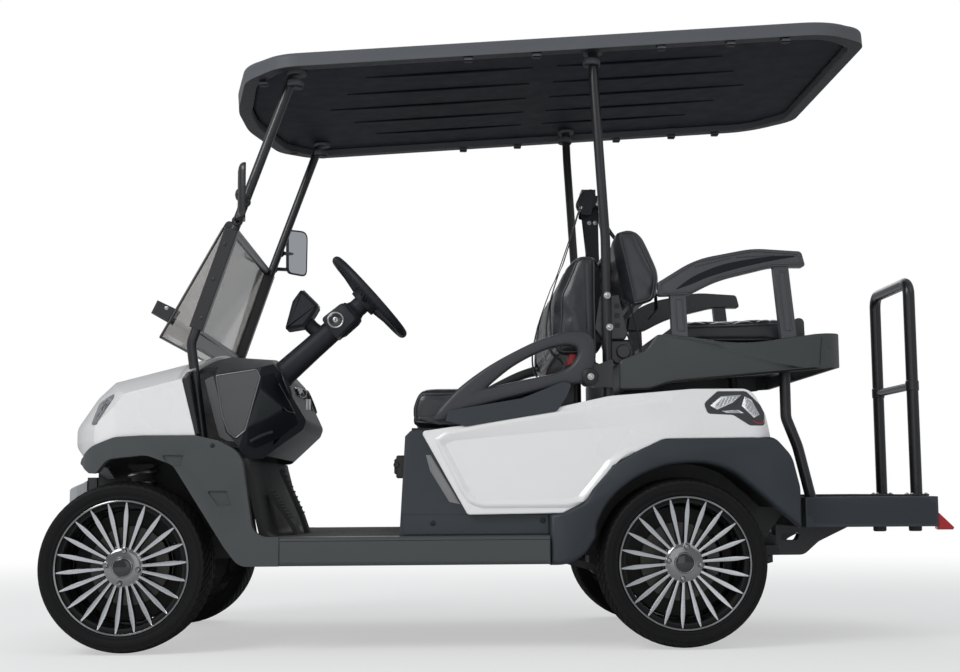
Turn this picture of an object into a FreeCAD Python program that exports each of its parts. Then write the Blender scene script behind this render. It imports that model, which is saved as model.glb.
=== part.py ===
import FreeCAD, Part
import math
import os
from types import SimpleNamespace

# Four-seat golf cart with a rear-facing back seat, in millimetres.
# Pieces are drawn from the front axle: X runs to the rear, Y to the cart's right and Z up from the ground.
# Each piece's Placement then carries it into the part's frame, whose origin is on the ground in mid length.

os.makedirs("parts", exist_ok=True)
doc = FreeCAD.newDocument("golf_cart")

# Driving dimensions. Columns: alias, value, what it is.
SIZES = (
    ("wheelbase", 1660, "front axle to rear axle"),
    ("track", 970, "left to right tyre centres"),
    ("tyre_diameter", 505, "over the tread"),
    ("tyre_width", 205, "across the side walls"),
    ("bead_diameter", 356, "where the tyre sits on the rim"),
    ("rim_lip", 19, "height of the rim lip over the bead seat"),
    ("rim_width", 184, "over both rim lips"),
    ("rim_wall", 7, "thickness of the rim barrel"),
    ("face_inset", 10, "blades inboard of the rim lip"),
    ("spoke_count", 22, "blades in a wheel"),
    ("spoke_depth", 26, "blade depth along the axle"),
    ("spoke_root", 7, "blade width at the hub"),
    ("spoke_belly", 14, "blade width at its widest"),
    ("spoke_tip", 5, "blade width at the barrel"),
    ("hub_length", 78, "hub along the axle"),
    ("hub_diameter", 118, "drum that the blades grow from"),
    ("cap_diameter", 64, "centre cap"),
    ("spindle_diameter", 28, "stub axle in the hub"),
    ("running_clearance", 0.05, "radial, shaft in its bore"),
    ("kingpin_offset", 95, "kingpin inboard of the tyre centre"),
    ("kingpin_diameter", 24, "kingpin"),
    ("steering_arm", 100, "kingpin to tie rod pin"),
    ("rail_spacing", 400, "between the frame rails' centres"),
    ("rail_width", 50, "frame rail"),
    ("rail_height", 60, "frame rail"),
    ("rail_bottom", 262, "ground to the rails"),
    ("floor_thickness", 16, "floor moulding"),
    ("sill_height", 85, "side sill"),
    ("sill_width", 60, "side sill"),
    ("sill_start", 462, "front axle to the sill's front seam"),
    ("body_width", 1200, "over sills and wheel flares"),
    ("panel_inset", 8, "white panels inboard of the flares"),
    ("panel_wall", 25, "side panels"),
    ("seat_inset", 100, "benches and rear struts inboard of the body's sides"),
    ("moulding_inset", 80, "dashboard, rear moulding and step inboard of the body's sides"),
    ("front_strut_inset", 57, "front struts inboard of the dashboard's sides"),
    ("rear_cushion_inset", 70, "rear cushion inboard of its moulding"),
    ("arch_gap", 38, "rear tyre to its arch"),
    ("arch_top", 577, "ground to the front arch"),
    ("belt_line", 638, "ground to the white nose panel's lower edge"),
    ("hood_top", 908, "ground to the hood's rear edge"),
    ("hood_slope", 14.3, "degrees, hood rising to the rear"),
    ("hood_crown", 104, "hood drop from the centre to the side"),
    ("hood_wall", 12, "hood moulding"),
    ("nose_reach", 249, "nose ahead of the front axle"),
    ("nose_sweep", 116, "nose plan, centre to corner"),
    ("bumper_reach", 266, "bumper ahead of the front axle"),
    ("seat_base_front", 829, "seat base ahead of the rear axle"),
    ("seat_deck", 650, "ground to the seat deck"),
    ("deck_thickness", 12, "seat base mouldings"),
    ("cushion_depth", 450, "front bench"),
    ("cushion_thickness", 118, "front bench"),
    ("board_thickness", 10, "boards under the cushions"),
    ("back_height", 330, "front backrest"),
    ("soft_gap", 0.3, "soft pieces off their neighbours"),
    ("strut_diameter", 30, "roof struts"),
    ("roof_length", 2030, "roof moulding"),
    ("roof_overhang", 0, "roof moulding outboard of the body's sides"),
    ("roof_depth", 45, "roof moulding edge"),
    ("roof_skin", 9, "roof moulding"),
    ("roof_front", 258, "front axle to the roof's front edge"),
    ("roof_height", 1784, "ground to the roof's top at its front edge"),
    ("roof_slope", 3.6, "degrees, roof rising to the rear"),
    ("glass_thickness", 5, "windshield sheets"),
    ("column_angle", 42, "degrees, steering column over the horizontal"),
    ("column_offset", 300, "steering column left of the centre"),
    ("steering_diameter", 340, "steering wheel"),
    ("steering_grip", 28, "steering wheel rim section"),
    ("tray_top", 940, "ground to the rear seat moulding's front rim"),
    ("rear_cushion_depth", 400, "rear bench"),
    ("rear_cushion_thickness", 82, "rear bench"),
    ("armrest_width", 44, "rear armrests"),
    ("restraint_width", 50, "hip restraints"),
    ("restraint_gap", 35, "hip restraint outboard of the bench"),
    ("step_top", 443, "ground to the rear step"),
    ("step_depth", 90, "rear step moulding"),
    ("step_start", 377, "rear axle to the step's front edge"),
    ("step_length", 488, "rear step at mid width"),
    ("step_sweep", 84, "step plan, centre to corner"),
    ("tread_height", 2, "tread pad over the step"),
    ("bar_diameter", 38, "grab bar tube"),
    ("bar_spacing", 370, "between the grab bar's legs"),
    ("bar_top", 1147, "ground to the grab bar's top"),
)

sheet = doc.addObject("Spreadsheet::Sheet", "Sizes")
for row, (alias, value, note) in enumerate(SIZES, start=1):
    sheet.set("A%d" % row, alias)
    sheet.set("B%d" % row, str(value))
    sheet.set("C%d" % row, note)
    sheet.setAlias("B%d" % row, alias)
doc.recompute()
d = SimpleNamespace(**{alias: float(sheet.get(alias)) for alias, value, note in SIZES})

# Places worked out from the driving dimensions.
tyre_r = d.tyre_diameter / 2
half_body = d.body_width / 2
half_track = d.track / 2
rail_top = d.rail_bottom + d.rail_height
floor_top = rail_top + d.floor_thickness
sill_top = floor_top
sill_bottom = sill_top - d.sill_height
sill_end = d.wheelbase - 401
panel_outer = half_body - d.panel_inset
panel_inner = panel_outer - d.panel_wall
strut_r = d.strut_diameter / 2
seat_half = half_body - d.seat_inset
moulding_half = half_body - d.moulding_inset
front_strut_y = moulding_half - d.front_strut_inset
rear_strut_y = seat_half
rear_cushion_half = moulding_half - d.rear_cushion_inset
seat_front = d.wheelbase - d.seat_base_front
seat_rear = seat_front + d.cushion_depth + 10
step_front = d.wheelbase + d.step_start
step_rear = step_front + d.step_length
kingpin_y = half_track - d.kingpin_offset
frame_shift = FreeCAD.Vector((d.bumper_reach - step_rear) / 2, 0, 0)

Y_AXIS = FreeCAD.Vector(0, 1, 0)
Z_AXIS = FreeCAD.Vector(0, 0, 1)
made = []


def vec(x, y, z):
    return FreeCAD.Vector(x, y, z)


def rounded_wire(corners, place):
    """Closed wire through corners (a, b, radius), each turned by an arc of its radius."""
    count = len(corners)
    stops = []
    for index, (a, b, radius) in enumerate(corners):
        here = vec(a, b, 0)
        back = vec(*corners[index - 1][:2], 0) - here
        ahead = vec(*corners[(index + 1) % count][:2], 0) - here
        if radius == 0:
            stops.append((here, None, here))
            continue
        half = back.getAngle(ahead) / 2
        back.normalize()
        ahead.normalize()
        inward = back + ahead
        inward.normalize()
        run = radius / math.tan(half)
        stops.append((
            here + back * run,
            here + inward * (radius / math.sin(half) - radius),
            here + ahead * run,
        ))
    edges = []
    for index, (start, middle, end) in enumerate(stops):
        if middle is not None:
            points = [place(p.x, p.y) for p in (start, middle, end)]
            edges.append(Part.Arc(*points).toShape())
        following = stops[(index + 1) % count][0]
        if end.distanceToPoint(following) > 1e-6:
            edges.append(Part.LineSegment(place(end.x, end.y), place(following.x, following.y)).toShape())
    return Part.Wire(edges)


def side_plate(corners, y_from, y_to):
    """Solid with a side outline (x, z, radius), from one y to another."""
    face = Part.Face(rounded_wire(corners, lambda a, b: vec(a, y_from, b)))
    return face.extrude(vec(0, y_to - y_from, 0))


def plan_plate(corners, z_from, z_to):
    """Solid with a plan outline (x, y, radius), from one height to another."""
    face = Part.Face(rounded_wire(corners, lambda a, b: vec(a, b, z_from)))
    return face.extrude(vec(0, 0, z_to - z_from))


def box(x_from, x_to, y_from, y_to, z_from, z_to):
    return Part.makeBox(x_to - x_from, y_to - y_from, z_to - z_from, vec(x_from, y_from, z_from))


def rod(start, end, radius):
    """Round bar between two points."""
    run = end - start
    return Part.makeCylinder(radius, run.Length, start, run)


def tube(points, radius):
    """Round tube through points (x, y, z, bend radius)."""
    path = [vec(x, y, z) for x, y, z, bend in points]
    edges = []
    last = path[0]
    for index in range(1, len(path) - 1):
        back = path[index - 1] - path[index]
        ahead = path[index + 1] - path[index]
        bend = points[index][3]
        half = back.getAngle(ahead) / 2
        back.normalize()
        ahead.normalize()
        inward = back + ahead
        inward.normalize()
        run = bend / math.tan(half)
        start = path[index] + back * run
        middle = path[index] + inward * (bend / math.sin(half) - bend)
        end = path[index] + ahead * run
        edges.append(Part.LineSegment(last, start).toShape())
        edges.append(Part.Arc(start, middle, end).toShape())
        last = end
    edges.append(Part.LineSegment(last, path[-1]).toShape())
    direction = path[1] - path[0]
    section = Part.Wire(Part.makeCircle(radius, path[0], direction))
    return Part.Wire(edges).makePipeShell([section], True, True)


def mirrored(shape):
    return shape.mirror(vec(0, 0, 0), Y_AXIS)


def both_sides(shape):
    return Part.Compound([shape, mirrored(shape)])


def feature(label, shape, placement=None):
    """Sub-part whose shape is worked out here, moved from the front axle to the part's frame."""
    item = doc.addObject("Part::Feature", label)
    item.Label = label
    item.Shape = shape
    if placement is None:
        placement = FreeCAD.Placement()
    item.Placement = FreeCAD.Placement(frame_shift, FreeCAD.Rotation()).multiply(placement)
    made.append(item)
    return item


def origin_plane(body, role):
    return next(item for item in body.Origin.OriginFeatures if item.Role == role)


def sketch_on(body, name, role, wire):
    """Sketch on one of the body's own planes, holding a closed wire drawn in XY."""
    sketch = body.newObject("Sketcher::SketchObject", name)
    sketch.AttachmentSupport = [(origin_plane(body, role), "")]
    sketch.MapMode = "FlatFace"
    for edge in wire.Edges:
        curve = edge.Curve
        first, last = edge.ParameterRange
        if isinstance(curve, Part.Circle):
            sketch.addGeometry(Part.Arc(*[edge.valueAt(v) for v in (first, (first + last) / 2, last)]), False)
        else:
            sketch.addGeometry(Part.LineSegment(edge.valueAt(first), edge.valueAt(last)), False)
    return sketch


def flat(a, b):
    return vec(a, b, 0)


# Wheels. The profiles are (distance out along the axle, radius).

def revolved_body(label, corners):
    """Body turned about the axle, from one closed half section on its XY plane."""
    body = doc.addObject("PartDesign::Body", label)
    body.Label = label
    sketch = sketch_on(body, label + "_section", "XY_Plane", rounded_wire(corners, lambda a, b: flat(b, a)))
    turn = body.newObject("PartDesign::Revolution", label + "_turn")
    turn.Profile = sketch
    turn.ReferenceAxis = (sketch, ["V_Axis"])
    turn.Angle = 360
    sketch.Visibility = False
    doc.recompute()
    return body


def make_tyre(label):
    bead = d.bead_diameter / 2
    lip = bead + d.rim_lip
    half = d.tyre_width / 2
    seat = d.rim_width / 2 - 12
    out = (
        (seat - d.soft_gap, bead + d.soft_gap, 0),
        (seat + 4 - d.soft_gap, lip + d.soft_gap, 0),
        (d.rim_width / 2 + 1, lip + d.soft_gap, 0),
        (half, lip + 18, 0),
        (half - 9, tyre_r - 12, 0),
        (half - 26, tyre_r, 0),
    )
    return revolved_body(label, out + tuple((-along, r, 0) for along, r, turn in reversed(out)))


def make_rim(label):
    """Hub by revolution, blades by a pad and a polar pattern, barrel by a second revolution."""
    bead = d.bead_diameter / 2
    lip = bead + d.rim_lip
    half = d.rim_width / 2
    hub = d.hub_diameter / 2
    face = half - d.face_inset
    bore = d.spindle_diameter / 2 + d.running_clearance
    belly = bead * 0.72
    blade_end = bead - d.rim_wall + 3
    body = revolved_body(label, (
        (-face - 6, 0, 0),
        (-face - 6, d.cap_diameter / 2, 0),
        (-face, d.cap_diameter / 2, 0),
        (-face, hub, 0),
        (-face + d.spoke_depth, hub, 0),
        (-face + d.hub_length, bore + 18, 0),
        (-face + d.hub_length, bore, 0),
        (-face + 20, bore, 0),
        (-face + 20, 0, 0),
    ))
    blade = sketch_on(body, label + "_blade", "XZ_Plane", rounded_wire((
        (hub - 4, -d.spoke_root / 2, 0),
        (belly, -d.spoke_belly / 2, 0),
        (blade_end, -d.spoke_tip / 2, 0),
        (blade_end, d.spoke_tip / 2, 0),
        (belly, d.spoke_belly / 2, 0),
        (hub - 4, d.spoke_root / 2, 0),
    ), flat))
    blade.AttachmentOffset = FreeCAD.Placement(vec(0, 0, face - d.spoke_depth + 2), FreeCAD.Rotation())
    pad = body.newObject("PartDesign::Pad", label + "_blade_pad")
    pad.Profile = blade
    pad.setExpression("Length", "Sizes.spoke_depth - 4")
    doc.recompute()
    ring = body.newObject("PartDesign::PolarPattern", label + "_blades")
    ring.Originals = [pad]
    ring.Axis = (blade, ["N_Axis"])
    ring.setExpression("Occurrences", "Sizes.spoke_count")
    body.Tip = ring
    doc.recompute()
    barrel = sketch_on(body, label + "_barrel", "XY_Plane", rounded_wire((
        (-half, bead - d.rim_wall, 0),
        (-half, lip, 0),
        (8 - half, lip, 0),
        (12 - half, bead, 0),
        (half - 12, bead, 0),
        (half - 8, lip, 0),
        (half, lip, 0),
        (half, bead - d.rim_wall, 0),
    ), lambda a, b: flat(b, a)))
    turn = body.newObject("PartDesign::Revolution", label + "_barrel_turn")
    turn.Profile = barrel
    turn.ReferenceAxis = (barrel, ["V_Axis"])
    turn.Angle = 360
    body.Tip = turn
    doc.recompute()
    return body


def fused(shapes):
    return shapes[0].multiFuse(list(shapes[1:])).removeSplitter()


# Running gear.

def make_knuckle(side):
    """Stub axle of a front wheel: ears over the axle's boss, kingpin, arm, spindle and brake back plate."""
    pin = d.kingpin_diameter / 2
    ear = pin + 12
    low = tyre_r - 52
    high = tyre_r + 52
    flange = kingpin_y + 44
    spindle_end = half_track + d.rim_width / 2 - d.face_inset - 22
    arm = plan_plate((
        (-ear, kingpin_y - 8, 8),
        (ear, kingpin_y - ear, 8),
        (d.steering_arm + 16, kingpin_y - 34, 14),
        (d.steering_arm + 16, kingpin_y - 4, 14),
        (ear, kingpin_y + ear, 8),
        (-ear, kingpin_y + ear, 8),
    ), low, low + 14)
    pieces = [
        rod(vec(0, kingpin_y, low), vec(0, kingpin_y, high), pin),
        arm,
        box(-ear, ear, kingpin_y - 8, flange, high - 14, high),
        box(-ear, ear, kingpin_y + ear + 2, flange, low, high),
        rod(vec(0, flange - 2, tyre_r), vec(0, flange + 8, tyre_r), 88),
        rod(vec(0, flange, tyre_r), vec(0, spindle_end, tyre_r), d.spindle_diameter / 2),
    ]
    caliper = box(40, 84, flange - 10, flange + 28, tyre_r - 34, tyre_r + 34)
    shape = fused(pieces + [caliper])
    return shape if side > 0 else mirrored(shape)


def make_front_axle():
    """Beam with kingpin bosses, spring dampers and the housing that guides the tie rod."""
    pin = d.kingpin_diameter / 2
    boss = pin + 9
    beam_top = d.rail_bottom - 7
    beam = fused([
        box(-22, 22, -kingpin_y, kingpin_y, beam_top - 35, beam_top),
        box(20, d.steering_arm + 25, -60, 60, tie_rod_z - 20, beam_top),
    ])
    for side in (-1, 1):
        y = side * kingpin_y
        beam = fused([
            beam,
            rod(vec(0, y, tyre_r - 30), vec(0, y, tyre_r + 30), boss),
            rod(vec(0, side * damper_y, beam_top - 10), vec(0, side * damper_y, beam_top + 90), 18),
            rod(vec(0, side * damper_y, beam_top + 80), vec(0, side * damper_y, tower_top - 12), 34),
        ])
        bore = rod(vec(0, y, tyre_r - 60), vec(0, y, tyre_r + 60), pin + d.running_clearance)
        beam = beam.cut(bore)
    slide = rod(
        vec(d.steering_arm, -80, tie_rod_z),
        vec(d.steering_arm, 80, tie_rod_z),
        tie_rod_r + d.running_clearance,
    )
    return beam.cut(slide)


def make_rear_axle():
    """Axle tube with gear case, motor, brake back plates, spring packs and their seats."""
    centre = d.wheelbase
    flange = half_track - 52
    spindle_end = half_track + d.rim_width / 2 - d.face_inset - 22
    pieces = [
        rod(vec(centre, -flange, tyre_r), vec(centre, flange, tyre_r), 32),
        rod(vec(centre, -spindle_end, tyre_r), vec(centre, spindle_end, tyre_r), d.spindle_diameter / 2),
        side_plate((
            (centre + 105, tyre_r - 70, 60),
            (centre + 105, tyre_r + 70, 60),
            (centre - 235, tyre_r + 62, 50),
            (centre - 235, tyre_r - 70, 50),
        ), -70, 60),
        rod(vec(centre - 160, 55, tyre_r - 4), vec(centre - 160, 165, tyre_r - 4), 66),
    ]
    for side in (-1, 1):
        pieces.append(rod(vec(centre, side * flange, tyre_r), vec(centre, side * (flange + 8), tyre_r), 88))
        near = min(side * (flange - 10), side * (flange + 28))
        pieces.append(box(centre + 40, centre + 84, near, near + 38, tyre_r - 34, tyre_r + 34))
        pieces.append(spring_pack(side))
    return fused(pieces)


def spring_pack(side):
    """Leaf spring bowed down to the axle tube, with its seat."""
    low = tyre_r - 62
    high = d.rail_bottom - 24
    y_from = side * spring_y - 22
    outline = (
        (d.wheelbase - spring_reach, high, 0),
        (d.wheelbase, low - 40, 900),
        (d.wheelbase + spring_reach, high, 0),
        (d.wheelbase + spring_reach, high + 22, 0),
        (d.wheelbase, low - 14, 900),
        (d.wheelbase - spring_reach, high + 22, 0),
    )
    leaf = side_plate(outline, y_from, y_from + 44)
    seat = box(d.wheelbase - 45, d.wheelbase + 45, y_from, y_from + 44, low + 6, tyre_r)
    return leaf.fuse(seat)


def make_rails():
    """Left and right frame rails with the uprights that stand on them, notched over the rear axle."""
    inner = (d.rail_spacing - d.rail_width) / 2
    outer = inner + d.rail_width
    # Uprights: from x, to x, top.
    uprights = (
        (bumper_rear, bumper_rear + 30, 520),
        (-25, 25, tower_top),
        (cowl_bar_x - 20, cowl_bar_x + 20, cowl_bar_z - 30),
        (hoop_x - 20, hoop_x + 20, hoop_z - 30),
    )
    pieces = [box(-190, rail_end, -outer, -inner, d.rail_bottom, rail_top)]
    pieces += [box(x_from, x_to, -outer, -inner, rail_top - 5, top) for x_from, x_to, top in uprights]
    notch = rod(vec(d.wheelbase, -outer - 1, tyre_r), vec(d.wheelbase, 1 - inner, tyre_r), 40)
    return both_sides(fused(pieces).cut(notch))


def make_cross_members():
    """Members between the rails, outriggers to the sills, the cowl and hoop bars, caps and spring hangers."""
    inner = (d.rail_spacing - d.rail_width) / 2
    outer = inner + d.rail_width
    sill_inside = half_body - d.sill_width
    pieces = []
    for x in (-165, sill_start_bar, seat_front + 45, sill_end - 40, rail_end - 30):
        pieces.append(box(x - 25, x + 25, -inner, inner, d.rail_bottom, rail_top))
    pieces.append(box(
        cowl_bar_x - 15, cowl_bar_x + 15,
        -front_strut_y - 15, front_strut_y + 15,
        cowl_bar_z - 30, cowl_bar_z,
    ))
    pieces.append(box(hoop_x - 15, hoop_x + 15, -rear_strut_y - 15, rear_strut_y + 15, hoop_z - 30, hoop_z))
    # Pieces on the outside of a rail: from x, to x, reach, bottom, top.
    for x_from, x_to, reach, low, high in (
        (sill_start_bar - 25, sill_start_bar + 25, sill_inside, d.rail_bottom, rail_top),
        (seat_front + 20, seat_front + 70, sill_inside, d.rail_bottom, rail_top),
        (sill_end - 65, sill_end - 15, sill_inside, d.rail_bottom, rail_top),
        (-40, 40, damper_y + 35, tower_top - 12, tower_top),
        (d.wheelbase - spring_reach - 20, d.wheelbase - spring_reach + 20,
         spring_y + 22, d.rail_bottom - 2, rail_top - 30),
        (d.wheelbase + spring_reach - 20, d.wheelbase + spring_reach + 20,
         spring_y + 22, d.rail_bottom - 2, rail_top - 30),
    ):
        for side in (-1, 1):
            pieces.append(box(x_from, x_to, *sorted((side * outer, side * reach)), low, high))
    return Part.Compound(pieces)


def make_floor():
    """Flat floor between the sills and a toe board that leans forward ahead of the feet."""
    half = half_body - d.sill_width
    toe = side_plate((
        (d.sill_start - 60, rail_top, 0),
        (seat_front - 1, rail_top, 0),
        (seat_front - 1, floor_top, 0),
        (d.sill_start - 40, floor_top, 25),
        (dash_floor_x + 22, dash_floor_z, 0),
        (dash_floor_x, dash_floor_z, 0),
    ), -half, half)
    return toe


def make_sill():
    """Side sill: a rounded section padded along the cart, then mirrored to the other side."""
    body = doc.addObject("PartDesign::Body", "sill_left")
    low = -half_body
    high = d.sill_width - half_body
    sketch = sketch_on(body, "sill_section", "YZ_Plane", rounded_wire((
        (low, sill_bottom, 14),
        (high, sill_bottom, 0),
        (high, sill_top, 0),
        (low, sill_top, 14),
    ), flat))
    sketch.AttachmentOffset = FreeCAD.Placement(vec(0, 0, d.sill_start), FreeCAD.Rotation())
    pad = body.newObject("PartDesign::Pad", "sill_pad")
    pad.Profile = sketch
    pad.setExpression("Length", "Sizes.wheelbase - 401 - Sizes.sill_start")
    doc.recompute()
    return mirror_pair("sills", body)


def mirror_pair(label, source):
    """Sub-part of two like pieces: the source and its mirror image across the cart."""
    image = doc.addObject("Part::Mirroring", label + "_image")
    image.Source = source
    image.Normal = Y_AXIS
    pair = doc.addObject("Part::Compound", label)
    pair.Label = label
    pair.Links = [source, image]
    pair.Placement = FreeCAD.Placement(frame_shift, FreeCAD.Rotation())
    doc.recompute()
    made.append(pair)
    return pair


# Nose.

def crowned(x_from, x_to, half, top_at_zero, slope, drop, bottom):
    """Prism whose top is an arc across the cart and rises to the rear by slope degrees."""
    run = vec(x_to - x_from, 0, (x_to - x_from) * math.tan(math.radians(slope)))
    lift = x_from * math.tan(math.radians(slope))
    top = top_at_zero + lift
    low = bottom + min(0, lift) - abs(run.z)
    left = vec(x_from, -half, top - drop)
    right = vec(x_from, half, top - drop)
    edges = [
        Part.Arc(left, vec(x_from, 0, top), right).toShape(),
        Part.LineSegment(right, vec(x_from, half, low)).toShape(),
        Part.LineSegment(vec(x_from, half, low), vec(x_from, -half, low)).toShape(),
        Part.LineSegment(vec(x_from, -half, low), left).toShape(),
    ]
    return Part.Face(Part.Wire(edges)).extrude(run)


def swept_nose(reach, sweep, half, rear, corner, z_from, z_to):
    """Prism with a plan whose front edge is an arc, its corners rounded."""
    side_x = -reach + sweep
    edges = [
        Part.Arc(vec(side_x, -half + corner, z_from), vec(-reach, 0, z_from),
                 vec(side_x, half - corner, z_from)).toShape(),
        Part.Arc(vec(side_x, half - corner, z_from),
                 vec(side_x + corner * 0.42, half - corner * 0.30, z_from),
                 vec(side_x + corner, half, z_from)).toShape(),
        Part.LineSegment(vec(side_x + corner, half, z_from), vec(rear, half, z_from)).toShape(),
        Part.LineSegment(vec(rear, half, z_from), vec(rear, -half, z_from)).toShape(),
        Part.LineSegment(vec(rear, -half, z_from), vec(side_x + corner, -half, z_from)).toShape(),
        Part.Arc(vec(side_x + corner, -half, z_from),
                 vec(side_x + corner * 0.42, corner * 0.30 - half, z_from),
                 vec(side_x, -half + corner, z_from)).toShape(),
    ]
    return Part.Face(Part.Wire(edges)).extrude(vec(0, 0, z_to - z_from))


def hood_crown(inset, x_from, x_to):
    """Solid below the hood's crowned top, or below the same surface inset by a wall."""
    top_at_zero = d.hood_top - inset - hood_rear * math.tan(math.radians(d.hood_slope))
    return crowned(x_from, x_to, panel_outer - inset + 5, top_at_zero, d.hood_slope, d.hood_crown, 400)


def nose_form(inset):
    """Outer form of the nose, or the same form inset by a wall: profile turned along the plan, and crown."""
    half = panel_outer - inset
    reach = d.nose_reach - inset
    span = panel_outer - nose_corner
    bend = (d.nose_sweep ** 2 + span ** 2) / (2 * d.nose_sweep)
    centre = bend - d.nose_reach
    tip = bend - inset
    profile = rounded_wire((
        (bend - 480, 490, 0),
        (tip - 128, 490, 0),
        (tip - 46, 548, 40),
        (tip, 615, 40),
        (tip, 672, 50),
        (tip - 62, 768, 80),
        (tip - 130, 835, 0),
        (tip - 262, 1000, 0),
        (bend - 480, 1000, 0),
    ), lambda r, z: vec(-r, 0, z))
    turned = Part.Face(profile).revolve(vec(0, 0, 0), Z_AXIS, 80)
    turned = turned.fuse(Part.Face(profile).revolve(vec(0, 0, 0), Z_AXIS, -80)).removeSplitter()
    turned.translate(vec(centre, 0, 0))
    plan = swept_nose(reach, d.nose_sweep, half, 270, nose_corner - inset, 400, 1000)
    return turned.common(plan).common(hood_crown(inset, -reach - 10, 270))


# Line where the white panel meets the dark fender, from the nose to the rear seam: x, z, radius.
FENDER_LINE = (
    (-150, 573, 0),
    (-98, 608, 80),
    (-22, 634, 80),
    (60, 638, 0),
)


def hood_region():
    """Outline of the white panel as a prism: over the fender line and ahead of the bowed rear edge."""
    side = side_plate((
        (-d.nose_reach - 40, 548, 0),
        (-165, 548, 0),
        *FENDER_LINE,
        (213, d.belt_line, 0),
        (hood_rear, 800, 0),
        (hood_rear, 830, 0),
        (hood_centre_rear + 5, 860, 0),
        (hood_centre_rear + 5, 1000, 0),
        (-d.nose_reach - 40, 1000, 0),
    ), -half_body - 10, half_body + 10)
    bow = [
        Part.Arc(vec(213, -panel_outer, 400), vec(hood_centre_rear, 0, 400),
                 vec(213, panel_outer, 400)).toShape(),
        Part.LineSegment(vec(213, panel_outer, 400), vec(-400, panel_outer, 400)).toShape(),
        Part.LineSegment(vec(-400, panel_outer, 400), vec(-400, -panel_outer, 400)).toShape(),
        Part.LineSegment(vec(-400, -panel_outer, 400), vec(213, -panel_outer, 400)).toShape(),
    ]
    top = [
        Part.Arc(vec(hood_rear, -panel_outer, 800), vec(hood_centre_rear, 0, 800),
                 vec(hood_rear, panel_outer, 800)).toShape(),
        Part.LineSegment(vec(hood_rear, panel_outer, 800), vec(-400, panel_outer, 800)).toShape(),
        Part.LineSegment(vec(-400, panel_outer, 800), vec(-400, -panel_outer, 800)).toShape(),
        Part.LineSegment(vec(-400, -panel_outer, 800), vec(hood_rear, -panel_outer, 800)).toShape(),
    ]
    lower = Part.Face(Part.Wire(bow)).extrude(vec(0, 0, 400))
    upper = Part.Face(Part.Wire(top)).extrude(vec(0, 0, 300))
    return side.common(lower.fuse(upper))


def headlamp_region():
    """Prisms of the headlamps at the nose's corners."""
    return fused([
        side_plate((
            (-30, 772, 10),
            (-66, 762, 30),
            (-110, 745, 10),
            (-110, 672, 10),
            (-84, 672, 6),
            (-62, 712, 60),
        ), *sorted((side * (half_body - 200), side * (half_body + 5)))) for side in (-1, 1)
    ])


def fender_form(inset):
    """Plan of the fenders: the nose's plan carried out to the body's width."""
    return swept_nose(
        d.nose_reach + 6 - inset, d.nose_sweep, half_body - inset,
        d.sill_start, nose_corner - inset, 200, 700,
    )


def make_fender():
    """Dark fender that wraps the nose's corner and runs over the wheel down to the sill."""
    fender = side_plate((
        (-158, 560, 4),
        (-105, 528, 14),
        (-78, 530, 10),
        (-44, d.arch_top - 8, 45),
        (70, d.arch_top + 4, 80),
        (150, d.arch_top - 27, 50),
        (300, 312, 60),
        (345, sill_bottom, 50),
        (d.sill_start, sill_bottom, 0),
        (d.sill_start, sill_top, 0),
        (388, sill_top, 45),
        (350, 585, 70),
        (281, 622, 20),
        (213, d.belt_line, 0),
        *reversed(FENDER_LINE),
    ), -half_body, 180 - half_body)
    fender = fender.common(fender_form(0)).cut(fender_form(38))
    # Recesses: four corners (x, z) each, cut into the outer face.
    for corners in (
        ((116, 580), (182, 579), (172, 546), (140, 545)),
        ((250, 474), (309, 474), (322, 430), (284, 430)),
    ):
        outline = tuple((x, z, 4) for x, z in corners)
        fender = fender.cut(side_plate(outline, -half_body - 1, 5 - half_body))
    return fender


def make_nose():
    """White shell, headlamps, and the dark cladding of two fenders and a chin."""
    outer = nose_form(0)
    hollow = outer.cut(nose_form(d.hood_wall))
    lamps = headlamp_region()
    headlamps = outer.cut(nose_form(38)).common(lamps)
    fender = make_fender()
    fenders = fender.fuse(mirrored(fender))
    shell = hollow.common(hood_region()).cut(lamps).cut(fenders)
    chin = box(-d.nose_reach - 10, -60, 100 - half_body, half_body - 100, 514, 548)
    chin = hollow.common(chin).cut(fenders)
    return shell, headlamps, Part.Compound([fender, mirrored(fender), chin])


def make_bumper():
    """Pale front bumper, open at the back."""
    plan = swept_nose(d.bumper_reach, 14, 230, bumper_rear, 30, 400, 520)
    side = side_plate((
        (-d.bumper_reach - 5, 425, 0),
        (-d.bumper_reach - 2, 440, 0),
        (-d.bumper_reach + 14, 482, 30),
        (-204, 502, 20),
        (bumper_rear, 510, 0),
        (bumper_rear, 425, 0),
    ), -240, 240)
    return plan.common(side).cut(box(-235, bumper_rear + 1, -200, 200, 440, 488))


def beyond(a, b, c, reach):
    """Large block on the outer side of the plane through a, b and c."""
    along = b - a
    along.normalize()
    normal = along.cross(c - a)
    normal.normalize()
    across = normal.cross(along)
    corners = [a + along * u * reach + across * v * reach for u, v in ((-1, -1), (1, -1), (1, 1), (-1, 1))]
    return Part.Face(Part.makePolygon(corners + corners[:1])).extrude(normal * reach)


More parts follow.
